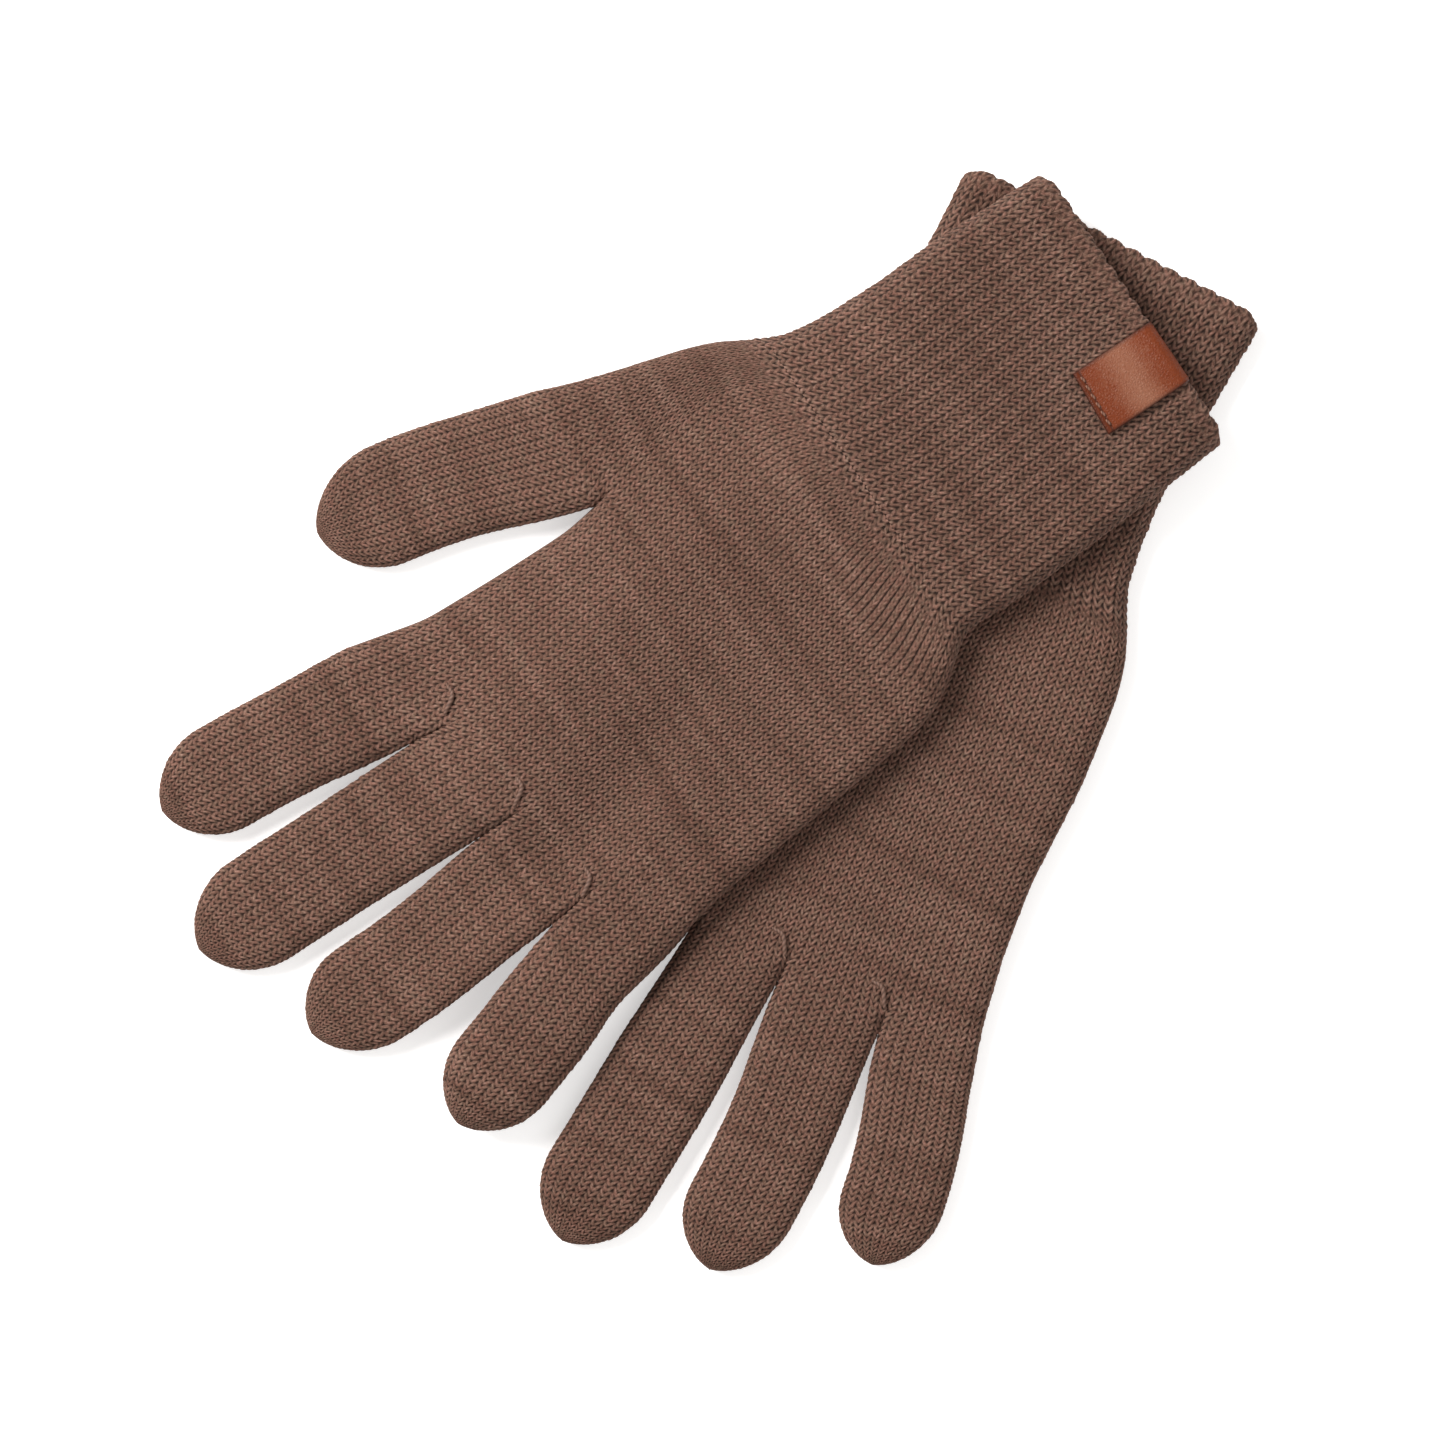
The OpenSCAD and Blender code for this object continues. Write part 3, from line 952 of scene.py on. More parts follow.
@dataclass
class GlovePlan:
    """The outline and heights of one glove.

    Args:
        side: which glove it is.
        lay: where it lies.
        knuckles: the fingers' fold line: its left end, the three crotches and its right end.
        digits: the four fingers from little to index, then the thumb.
        left_edge: points of the glove's left side, from the cuff's mouth to the knuckles.
        thumb_edge: points of its right side, from the mouth to the thumb's root.
        palm_edge: points of the palm's right side, from the wrist past the thumb's crotch to the knuckles.
        wrist: where the ribs of the cuff end.
        thumb_crotch: the crotch beside the thumb.
        thumb_root: the outer end of the thumb's fold line.
        crotch_depth: how far the creases reach below the fingers' crotches.
        thumb_crease: how far the crease reaches below the thumb's.
        cuff_height: how high the glove lies at the cuff.
        hand_height: how high at the palm.
        finger_height: how high at the fingers' roots.
        tip_height: how high at the fingertips.
        crown: how far in from an edge the upper side is rounded.
        notch: how wide the creases below the crotches are, to each side.
        gathers: where the wales are squeezed: a place's x and y, its reach across and along, how much.
        ribs: how many wales the upper side of the cuff has.
        cuff_wall: how thick the cuff's fabric is.
        cuff_edge_depth: how far the cast-on edge reaches from the mouth.
        cuff_inside: how far in the cuff's inner side is made.
        mouth_bow: how far the mouth's middle bows out.
        scallop: how far each rib stands out at the mouth.
    """

    side: Side
    lay: Lay
    knuckles: Points
    digits: Sequence[DigitPlan]
    left_edge: Points
    thumb_edge: Points
    palm_edge: Points
    wrist: float = 75.0
    thumb_crotch: tuple[float, float] = (31.8, 131.0)
    thumb_root: tuple[float, float] = (62.5, 128.0)
    crotch_depth: float = 13.0
    thumb_crease: float = 6.0
    cuff_height: float = 7.9
    hand_height: float = 7.2
    finger_height: float = 6.4
    tip_height: float = 5.8
    crown: float = 6.5
    notch: float = 1.3
    gathers: Sequence[tuple[float, float, float, float, float]] = ()
    ribs: int = 32
    cuff_wall: float = 1.9
    cuff_edge_depth: float = 3.0
    cuff_inside: float = 46.0
    mouth_bow: float = 1.2
    scallop: float = 0.6


@dataclass
class KnitGlove:
    """Builds one glove's knitted pieces from its plan.

    Args:
        plan: the glove's outline.
        ground: what lies below it.
        clearance: the least height of its underside over the ground.
        pieces: the pieces made so far.
    """

    plan: GlovePlan
    ground: HeightMap
    clearance: float
    pieces: list[bpy.types.Object] = field(default_factory=list)

    @property
    def salt(self) -> int:
        """Return what sets this glove's random draws apart from the other's."""
        return 0 if self.plan.side is Side.LEFT else RIGHT_SALT

    def name(self, part: str) -> str:
        """Return a piece's name with the glove's side in front."""
        return f"{self.plan.side.value}_{part}"

    def body(self, part: str) -> str:
        """Return the name of the body that a part of this glove moves with."""
        name = self.name(part)
        return name if name in frame["bodies"] else "right_glove"

    def finish(self, piece: bpy.types.Object, node: str, slot: str, material: bpy.types.Material) -> None:
        """Give a piece its material, hide the CAD node that it stands for, and keep it among the glove's
        pieces.

        Args:
            piece: the piece.
            node: the CAD node, without the glove's side.
            slot: the material's slot; not used.
            material: the material.
        """
        piece.data.materials.append(material)
        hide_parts(self.name(node))
        self.pieces.append(piece)
        LOG.info("knitted %s, %d points", piece.name, len(piece.data.vertices))

    # ------------------------------------------------------------------ surfaces

    def surface(self, strip: Strip, face: Face) -> np.ndarray:
        """Work out the smooth surface of a strip, before its stitches.

        Args:
            strip: the strip.
            face: the upper or the lower face.

        Returns:
            The surface's points.
        """
        xy = self.plan.lay.place(strip.plan)
        base = self.ground.at(xy) + self.clearance
        tall = strip.height[:, None]
        if face is Face.LOWER:
            return np.concatenate([xy, (base + tall * SIDE_HEIGHT * (1.0 - strip.full))[..., None]], -1)
        waves = np.sin(xy[..., 0] * PUFF_WAVES[0] + 1.0) * np.sin(xy[..., 1] * PUFF_WAVES[1] + self.salt)
        puff = 1.0 + PUFF * waves
        lift = tall * (SIDE_HEIGHT + (1.0 - SIDE_HEIGHT) * strip.full * puff)
        return np.concatenate([xy, (base + lift)[..., None]], -1)

    def hand_relief(self, strip: Strip, ribs: np.ndarray) -> tuple[np.ndarray, Values]:
        """Work out the hand's stitches, which go over from the cuff's ribs to plain knit.

        Args:
            strip: the strip.
            ribs: where each column starts at the wrist, counted in the cuff's wales.

        Returns:
            The relief, and the numbers for the wool's finish.
        """
        shape = strip.full.shape
        wale = np.broadcast_to(strip.wales[None, :], shape)
        row = np.broadcast_to(strip.rows[:, None], shape)
        gather = np.zeros(shape)
        for x, y, across, along, most in self.plan.gathers:
            away = ((strip.plan[..., 0] - x) / across) ** 2 + ((strip.plan[..., 1] - y) / along) ** 2
            gather = np.maximum(gather, most * np.exp(-away ** 2))
        relief, values = PLAIN.stitches(wale, row, self.salt, gather)
        pitch = np.linalg.norm(np.gradient(strip.plan, axis=1), axis=-1) * WALE_STEPS / WALE_PITCH
        room = np.clip(pitch * 1.25 + 0.1 + 0.5 * gather, 0.25, 1.0)  # narrow wales are flatter
        ribbed, rib_values = RIB.stitches(np.broadcast_to(ribs[None, :], shape), row, RIB_SALT + self.salt)
        change_rows = 5.0
        share = 1.0 - ease(row / change_rows)
        for key, plain in values.items():
            blended = share * rib_values[key] + (1.0 - share) * plain
            switched = np.where(share > 0.5, rib_values[key], plain)
            values[key] = blended if key in ("yarn_depth", "yarn_tone") else switched
        return share * ribbed + (1.0 - share) * relief * room, values

    def sheet(self, strip: Strip, relief: np.ndarray, values: Values, face: Face,
              outward: "np.ndarray | None" = None) -> Sheet:
        """Raise stitches on one face of a strip.

        Args:
            strip: the strip.
            relief: how far each point stands out.
            values: numbers for the finish.
            face: the upper or the lower face; the lower one has fewer columns.
            outward: the surface's normals, if they are known.

        Returns:
            The sheet of points.
        """
        smooth = self.surface(strip, face)
        n = normals(smooth) if outward is None else outward
        fade = ease(strip.full / EDGE_FADE)
        if face is Face.UPPER:
            return Sheet(smooth + n * (relief * fade)[..., None], values, face)
        points = smooth - n * (UNDER_RELIEF * relief * fade)[..., None]
        return Sheet(points, values, face).part(slice(None), slice(None, None, UNDER_STEP))

    # ------------------------------------------------------------------ hand and fingers

    def build_hand(self, material: bpy.types.Material) -> None:
        """Knit the hand with the thumb's root, and the five digits that go on from it.

        Args:
            material: the wool.
        """
        strips, crotch_row, fold_row = self.lay_hand()
        stops = [fold_row] * 4 + [crotch_row]
        spare_rows = 4  # past the fold line, so that the normals there are true
        whole = [s.first_rows(fold_row + spare_rows) for s in strips]
        tall = {face: self.side_by_side([self.surface(s, face) for s in whole]) for face in Face}
        ribs = self.ribs_at(tall[Face.UPPER][0])
        ends = np.cumsum([0] + [d.wales * WALE_STEPS for d in self.plan.digits])
        spans = [slice(a, b + 1) for a, b in zip(ends[:-1], ends[1:])]
        knits = [self.hand_relief(s, ribs[span]) for s, span in zip(strips, spans)]
        made: dict[str, list[Sheet]] = {"palm_upper_knit": [], "palm_lower_knit": [], "thumb_root_knit": []}
        for face in Face:
            outward = normals(tall[face])
            for strip, span, stop, (relief, values) in zip(strips, spans, stops, knits):
                rows = slice(0, stop + 1)
                part = "thumb_root_knit" if strip is strips[-1] else f"palm_{face.value}_knit"
                kept = {key: numbers[rows] for key, numbers in values.items()}
                made[part].append(self.sheet(strip.part(rows), relief[rows], kept, face, outward[rows, span]))
        for part, sheets in made.items():
            piece = build_mesh(self.name(part), sheets)
            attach(piece, self.body("palm"))
            self.finish(piece, "hand", "plain_knit", material)
        for digit, strip, stop, (relief, values) in zip(self.plan.digits, strips, stops, knits):
            both = [self.sheet(strip, relief, values, face).part(slice(stop, None)) for face in Face]
            self.build_digit(digit, both, material)

    def side_by_side(self, grids: list[np.ndarray]) -> np.ndarray:
        """Return grids of points joined along their common edges."""
        return np.concatenate([grids[0]] + [grid[:, 1:] for grid in grids[1:]], axis=1)

    def ribs_at(self, wrist_row: np.ndarray) -> np.ndarray:
        """Return where each column starts at the wrist, counted in the cuff's wales."""
        steps = np.linalg.norm(np.diff(wrist_row, axis=0), axis=1)
        arc = np.concatenate([[0.0], np.cumsum(steps)])
        return arc / arc[-1] * self.plan.ribs

    def lay_hand(self) -> tuple[list[Strip], int, int]:
        """Lay out the hand and its digits.

        Returns:
            The five strips from wrist to tip, the thumb crotch's row and the fingers' fold row.
        """
        p = self.plan
        count = round((p.knuckles[2][1] - p.wrist) / PLAIN.course) * COURSE_STEPS
        level = np.linspace(0.0, 1.0, count + 1)
        y_left = p.wrist + (p.knuckles[0][1] - p.wrist) * level
        y_right = p.wrist + (p.knuckles[4][1] - p.wrist) * level
        left = np.stack([smooth_line(p.left_edge, y_left), y_left], 1)
        palm_right = np.stack([smooth_line(p.palm_edge, y_right), y_right], 1)
        crotch_row = int(np.argmin(np.abs(y_right - p.thumb_crotch[1])))
        y_root = p.wrist + (p.thumb_root[1] - p.wrist) * np.arange(count + 1) / crotch_row
        root_right = np.stack([smooth_line(p.thumb_edge, y_root), y_root], 1)
        root_right[crotch_row + 1:] = palm_right[crotch_row + 1:]
        crease = ease(1.0 + (y_left - p.knuckles[0][1] + 0.6) / p.crotch_depth)
        height = p.hand_height + (p.finger_height - p.hand_height) * ease((level - 0.6) / 0.4)
        height = height + (p.cuff_height - p.hand_height) * (1.0 - ease(level / 0.2))
        palm = np.linalg.norm(palm_right - left, axis=1)
        palm_share = palm / (palm + np.linalg.norm(root_right - palm_right, axis=1))
        span = math.dist(p.knuckles[0], p.knuckles[4])
        shares = [math.dist(p.knuckles[0], point) / span for point in p.knuckles]
        ones = np.ones(count + 1)
        thumb_pinch = ease(1.0 + (y_right - p.thumb_crotch[1] + 0.4) / p.thumb_crease)
        rounded = p.crown - 0.5 * crease
        notch = p.notch + (rounded - p.notch) * ease(1.0 + (y_left - p.knuckles[0][1]) / 5.0)
        opening = ease(1.0 + (y_right - p.thumb_crotch[1]) / p.thumb_crease)
        thumb_notch = p.notch + (rounded - p.notch) * opening
        section = Section(left, palm_right, root_right, [s * palm_share for s in shares] + [ones],
                          [ones, crease, crease, crease, thumb_pinch, ones], [d.wales for d in p.digits],
                          height, [rounded, notch, notch, notch, thumb_notch, rounded])
        strips = section.strips(np.arange(count + 1) / COURSE_STEPS)
        strips[4] = strips[4].first_rows(crotch_row + 1)
        return [s.grown(self.lay_digit(d, s)) for d, s in zip(p.digits, strips)], crotch_row, count

    def lay_digit(self, digit: DigitPlan, root: Strip) -> Strip:
        """Lay out a digit's rows from its fold line to its closed tip.

        Args:
            digit: the digit.
            root: its strip of the hand, whose last row is the fold line.

        Returns:
            The digit's strip.
        """
        root_left, root_right = root.plan[-1, 0], root.plan[-1, -1]
        middle = (root_left + root_right) / 2.0
        reach = float(np.linalg.norm(np.array(digit.tip) - middle))
        along = (np.array(digit.tip) - middle) / reach
        across = np.array([along[1], -along[0]])
        tip_r = digit.width / 2.0
        tip_length = TIP_STRETCH * tip_r
        straight = reach - tip_length
        length = straight + tip_length * math.pi / 2.0
        steps = np.linspace(0.0, length, round(length / FINGER_COURSE) * COURSE_STEPS + 1)
        turn = np.clip((steps - straight) / tip_length, 0.0, math.pi / 2.0)
        s = np.minimum(steps, straight) + tip_length * np.sin(turn)
        root_half = float(np.linalg.norm(root_right - root_left)) / 2.0
        half = root_half + (tip_r - root_half) * ease(steps / (0.6 * straight))  # even from here on
        closing = np.maximum(np.cos(turn), 0.0)
        half = np.maximum(half * closing ** TIP_TAPER, 0.01)
        square_by = 18.0  # millimetres past the fold line, where the rows lie square to the digit
        lean = ease(s / square_by)[:, None]
        u = unit((root_right - root_left) / (2.0 * root_half) * (1.0 - lean) + across * lean)
        bow = (digit.bow * np.sin(math.pi * np.clip(s / reach, 0.0, 1.0)) ** 2)[:, None]
        centre = middle + along * s[:, None] + across * bow
        height = root.height[-1] + (self.plan.tip_height - root.height[-1]) * ease(steps / length)
        ones = np.ones(len(s))
        crown = np.clip(half * 0.8, 0.02, self.plan.crown - 0.5)
        ends = (centre - u * half[:, None], centre, centre + u * half[:, None])
        section = Section(*ends, [0.0 * ones, ones], [ones, ones], [digit.wales], height, [crown, crown])
        strip = section.strips(steps / length * round(length / FINGER_COURSE))[0]
        strip.full = strip.full * closing[:, None] ** 0.5
        return strip

    def build_digit(self, digit: DigitPlan, sheets: list[Sheet], material: bpy.types.Material) -> None:
        """Make a digit's piece, which goes with the hand's body where the digit has none of its own, and else
        stays where it lies.

        Args:
            digit: the digit.
            sheets: its upper and lower sheet.
            material: the wool.
        """
        part = digit.name if digit.name == "thumb" else f"{digit.name}_finger"
        piece = build_mesh(self.name(f"{part}_knit"), sheets)
        hand, own = self.body("palm"), self.body(digit.name)
        if hand == own:
            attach(piece, hand)
        else:
            self.bend(piece, hand, own, f"{own}_fold", FINGER_FOLD)
        self.finish(piece, part, "plain_knit", material)

    def bend(self, piece: bpy.types.Object, still: str, moving: str, hinge: str, reach: float) -> None:
        """Bake a piece's transform where it lies, without joining it to either body.

        Args:
            piece: the piece.
            still: the body on the near side of the hinge; not used.
            moving: the body on the far side; not used.
            hinge: the joint between them.
            reach: a length past the hinge, in millimetres; what the code works out from it is not kept.
        """
        x, y, z = joint(hinge)["pos_m"]
        ax, ay, _ = joint(hinge)["axis"]
        x - ay * reach * MM
        y + ax * reach * MM
        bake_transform(piece)

    # ------------------------------------------------------------------ cuff

    def build_cuff(self, ribbed: bpy.types.Material, edge: bpy.types.Material) -> None:
        """Knit the ribbed cuff, inside and out, and the cast-on edge of its mouth.

        Args:
            ribbed: the cuff's wool.
            edge: the wool of the cast-on edge.
        """
        p = self.plan
        rim_r = p.cuff_wall / 2.0
        fine = RIB.course / COURSE_STEPS
        inner = np.arange(p.cuff_inside, 0.0, -1.5 * fine)
        turn = np.linspace(0.0, math.pi, 11)[1:-1]
        outer = np.linspace(0.0, p.wrist, round(p.wrist / fine) + 1)
        y = np.concatenate([inner, -rim_r * np.sin(turn), outer])
        inset = np.concatenate([np.full(inner.size, p.cuff_wall), rim_r * (1.0 + np.cos(turn)), 0.0 * outer])
        shut_over = 14.0  # the inner side closes over this length, deep in the cuff
        opened = ease(0.04 + (p.cuff_inside - inner) / shut_over)
        room = np.concatenate([opened, np.ones(turn.size + outer.size)])
        steps = np.concatenate([[0.0], np.cumsum(np.hypot(np.diff(y), np.diff(inset)))])
        rows = (steps - steps[-1]) / RIB.course
        rim = (inner.size, inner.size + turn.size)
        edge_in = int(np.argmin(np.abs(inner - p.cuff_edge_depth)))
        edge_out = rim[1] + int(np.argmin(np.abs(outer - p.cuff_edge_depth)))
        ones = np.ones(y.size)
        left = np.stack([smooth_line(p.left_edge, y) + inset, y], 1)
        right = np.stack([smooth_line(p.thumb_edge, y) - inset, y], 1)
        section = Section(left, right, right, [0.0 * ones, ones], [ones, ones], [p.ribs],
                          p.cuff_height - 2.0 * inset, [p.crown - inset] * 2)
        strip = section.strips(rows)[0]
        wale = np.broadcast_to(strip.wales[None, :], strip.full.shape)
        row = np.broadcast_to(rows[:, None], strip.full.shape)
        relief, values = RIB.stitches(wale, row, RIB_SALT + self.salt)
        bow_reach, scallop_reach = 16.0, 2.5
        bow = p.mouth_bow * (1.0 - ease(y / bow_reach))[:, None]
        scallops = p.scallop * (1.0 - ease(y / scallop_reach))[:, None]
        rib_crest = np.sqrt(np.abs(np.cos(math.pi * wale / 2.0)))
        strip.plan[..., 1] -= (bow + scallops * rib_crest) * strip.full
        sheets = {}
        for face in Face:
            smooth = self.surface(strip, face)
            middle = self.ground.at(smooth[..., :2]) + self.clearance + p.cuff_height * SIDE_HEIGHT
            z = smooth[..., 2] + inset[:, None]
            smooth[..., 2] = middle + (z - middle) * room[:, None]
            fade = ease(strip.full / EDGE_FADE) * np.where(y > 0.0, 1.0, 0.75)[:, None]
            sign = 1.0 if face is Face.UPPER else -UNDER_RELIEF
            points = smooth + sign * normals(smooth) * (relief * fade)[..., None]
            thin = slice(None, None, 1 if face is Face.UPPER else UNDER_STEP)
            sheets[face] = Sheet(points, values, face).part(slice(None), thin)
        cuff_rows = (slice(0, edge_in + 1), slice(edge_out, None))
        lip_rows = slice(edge_in, edge_out + 1)
        cuff = build_mesh(self.name("rib_cuff_knit"), [sheets[f].part(r) for f in Face for r in cuff_rows])
        lip = build_mesh(self.name("cast_on_edge"), [sheets[f].part(lip_rows) for f in Face])
        still, moving = self.body("palm"), self.body("cuff")
        if still == moving:
            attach(cuff, still)
        else:
            self.bend(cuff, still, moving, f"{moving}_fold", CUFF_FOLD)
        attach(lip, moving)
        self.finish(cuff, "rib_cuff", "rib_knit", ribbed)
        self.finish(lip, "cuff_edge", "rib_edge", edge)

    def cuff_top(self, plan: np.ndarray) -> np.ndarray:
        """Return the height of the cuff's upper layer, without stitches, at points of its plan."""
        return self.ground.at(self.plan.lay.place(plan)) + self.clearance + self.plan.cuff_height

    # ------------------------------------------------------------------ yarn between the fingers

    def build_joins(self, material: bpy.types.Material) -> None:
        """Sew the crotches shut with a few turns of yarn.

        Args:
            material: the yarn's finish.
        """
        p = self.plan
        sheets = []
        phase = np.linspace(0.0, math.pi, 15)  # over one turn, from finger to finger
        half_span, pitch, rise, yarn_r = 1.5, 1.5, 1.3, 0.5
        for number, crotch in enumerate(p.knuckles[1:4]):
            for turn in range(3):
                x = crotch[0] - half_span * np.cos(phase) + 0.25 * (turn - 1)
                y = crotch[1] - 1.3 - pitch * turn + 0.5 * np.cos(phase) * (-1) ** number
                xy = p.lay.place(np.stack([x, y], 1))
                tall = p.finger_height * SIDE_HEIGHT + rise * np.sin(phase) + 0.25 * turn
                z = self.ground.at(xy) + self.clearance + tall
                radius = yarn_r * np.sqrt(np.maximum(np.sin(phase), 0.0)) + POINT_R
                sheets.append(tube(np.concatenate([xy, z[:, None]], 1), radius, 12, 3.0))
            sheets.append(self.yarn_end(crotch))
        piece = build_mesh(self.name("crotch_yarn"), sheets)
        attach(piece, self.body("palm"))
        self.finish(piece, "finger_joins", "join_yarn", material)

    def yarn_end(self, crotch: tuple[float, float]) -> Sheet:
        """Lay the darned-in end of a crotch's yarn over the foot of its crease.

        Args:
            crotch: the crotch's place in the plan.

        Returns:
            The yarn's end as one tube.
        """
        share = np.linspace(0.0, 1.0, 41)
        x = crotch[0] + 1.0 + 6.5 * share ** 1.3
        y = crotch[1] - 0.7 * self.plan.crotch_depth - 4.5 * ease(share * 1.2) + 0.35 * np.sin(9.0 * share)
        xy = self.plan.lay.place(np.stack([x, y], 1))
        crest = self.ground.at(xy) + self.clearance + self.plan.hand_height + PLAIN.relief
        z = crest - 1.6 + 1.35 * np.sin(math.pi * share) ** 0.5
        radius = 0.55 * np.sin(math.pi * share) ** 0.35 + POINT_R
        return tube(np.concatenate([xy, z[:, None]], 1), radius, 12, 9.0)


@dataclass
class LabelTab:
    """The leather label folded over the mouth of the left cuff, and its row of stitches.

    Args:
        glove: the glove that wears it.
        slide: how much nearer the fingertips it lies than its CAD node.
        skew: how far its sewn end leans, as a slope.
        thickness: how thick the leather is.
        rim: how far in from its edges the leaf is rounded.
        dark_rim: how far in the edges are darkened, by burnish and painted shade.
        fold_r: half the gap between its two leaves.
        inner_short: how much shorter the inner leaf is.
        seam_depth: how deep the seam is sunk.
        seam_inset: how far the seam lies from the sewn end.
        stitch_count: how many stitches it has.
        stitch_pitch: how far apart they are.
        stitch_radius: how thick the thread is, as a radius.
    """

    glove: KnitGlove
    slide: float = 2.0
    skew: float = 0.06
    thickness: float = 1.15
    rim: float = 0.45
    dark_rim: float = 1.2
    fold_r: float = 2.0
    inner_short: float = 7.0
    seam_depth: float = 0.38
    seam_inset: float = 1.5
    stitch_count: int = 6
    stitch_pitch: float = 2.35
    stitch_radius: float = 0.34

    def __post_init__(self) -> None:
        """Take the label's place from its CAD node."""
        low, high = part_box("left_leather_label")
        ox, oy = self.glove.plan.lay.origin
        self.x_low, self.x_high = low.x / MM - ox, high.x / MM - ox
        self.y_fold, self.y_end = low.y / MM - oy + self.slide, high.y / MM - oy + self.slide
        self.x_middle = (self.x_low + self.x_high) / 2.0

    def height_over(self, x: np.ndarray, y: np.ndarray) -> np.ndarray:
        """Work out how high the outer leaf lies.

        Args:
            x: places across the glove, in its plan.
            y: places along it.

        Returns:
            The height of the middle of the leaf's thickness.
        """
        over_ribs = 0.35
        plan = np.stack(np.broadcast_arrays(x, np.maximum(y, 0.0)), -1)
        return self.glove.cuff_top(plan) + RIB.rib + over_ribs + self.thickness / 2.0

    def build(self, leather: bpy.types.Material, thread: bpy.types.Material) -> None:
        """Cut, fold and stitch the label.

        Args:
            leather: the label's leather.
            thread: the thread of its stitches.
        """
        y_bend = self.y_fold + self.fold_r + self.thickness / 2.0
        edge = np.array([0.0, 0.06, 0.15, 0.28, 0.45])
        outer = np.concatenate([self.y_end - edge, np.linspace(self.y_end - 0.8, y_bend, 44)])
        turn = np.linspace(0.0, math.pi, 16)[1:-1]
        inner_end = self.y_end - self.inner_short
        inner = np.concatenate([np.linspace(y_bend, inner_end - 0.8, 24), inner_end - edge[::-1]])
        y = np.concatenate([outer, y_bend - self.fold_r * np.sin(turn), inner])
        under = np.full(inner.size, 2.0 * self.fold_r)
        drop = np.concatenate([0.0 * outer, self.fold_r * (1.0 - np.cos(turn)), under])
        middle = np.linspace(self.x_low + 0.8, self.x_high - 0.8, 40)
        x = np.concatenate([self.x_low + edge, middle, self.x_high - edge[::-1]])
        gx, gy = np.meshgrid(x, y)
        outside = drop[:, None] == 0.0
        off_middle = gx - self.x_middle
        waist = 0.011 * ease((gy - self.y_end + 9.0) / 9.0) * outside  # the sewn end is drawn in a little
        gy = gy - self.skew * off_middle * ease(gy / self.y_end) * outside
        crown = 0.35 * (1.0 - (off_middle / (self.x_high - self.x_middle)) ** 2)
        plan = self.glove.plan.lay.place(np.stack([self.x_middle + off_middle * (1.0 - waist), gy], -1))
        line = self.stitch_line() - self.skew * off_middle
        crack = np.exp(-((gy - line) / 0.5) ** 2) * outside
        z = self.height_over(gx, gy) + crown - drop[:, None] - self.seam_depth * crack
        mid = np.concatenate([plan, z[..., None]], -1)
        from_edge = np.minimum(gx - self.x_low, self.x_high - gx)
        steps = np.concatenate([[0.0], np.cumsum(np.hypot(np.diff(y), np.diff(drop)))])
        from_end = np.minimum(steps, steps[-1] - steps)[:, None]
        rim = np.minimum(from_edge, from_end)
        half = self.thickness / 2.0 * bulge(rim / self.rim)
        offset = normals(mid) * half[..., None]
        # the painted highlight down the middle of the outer leaf
        sheen_at, sheen_over = 7.5, 5.0
        # dark at the cut edges, by burnish and painted shade, and painted shade in the sunk seam
        values = {"leaf_rim": np.maximum(1.0 - np.clip(rim / self.dark_rim, 0.0, 1.0), crack),
                  "leaf_middle": np.exp(-((gy - sheen_at) / sheen_over) ** 2)}
        sheets = [Sheet(mid - offset, values, Face.LOWER), Sheet(mid + offset, values, Face.UPPER)]
        piece = build_mesh("left_leather_tab", sheets)
        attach(piece, "left_cuff")
        self.glove.finish(piece, "leather_label", "label_leather", leather)
        self.stitch(thread)

    def stitch_line(self) -> float:
        """Return where along the glove the stitches lie."""
        return self.y_end - self.seam_inset

    def stitch(self, thread: bpy.types.Material) -> None:
        """Sew the label's end down with a row of slanting stitches.

        Args:
            thread: the thread's finish.
        """
        sheets = []
        t = np.linspace(-1.0, 1.0, 17)  # from one end of a stitch to the other
        for k in range(self.stitch_count):
            x = self.x_middle + (k - (self.stitch_count - 1) / 2.0) * self.stitch_pitch + 0.80 * t
            y = self.stitch_line() + 0.22 * t - self.skew * (x - self.x_middle)
            lift = self.height_over(x, y) + self.thickness / 2.0 + 0.12 - 0.42 * t ** 4
            xy = self.glove.plan.lay.place(np.stack([x, y], 1))
            radius = self.stitch_radius * np.sqrt(np.clip(1.0 - t ** 6, 0.0, 1.0)) + POINT_R
            sheets.append(tube(np.concatenate([xy, lift[:, None]], 1), radius, 14, 2.0))
        piece = build_mesh("left_tab_stitches", sheets)
        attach(piece, "left_cuff")
        self.glove.finish(piece, "label_stitching", "label_thread", thread)


# --------------------------------------------------------------------------- the studio


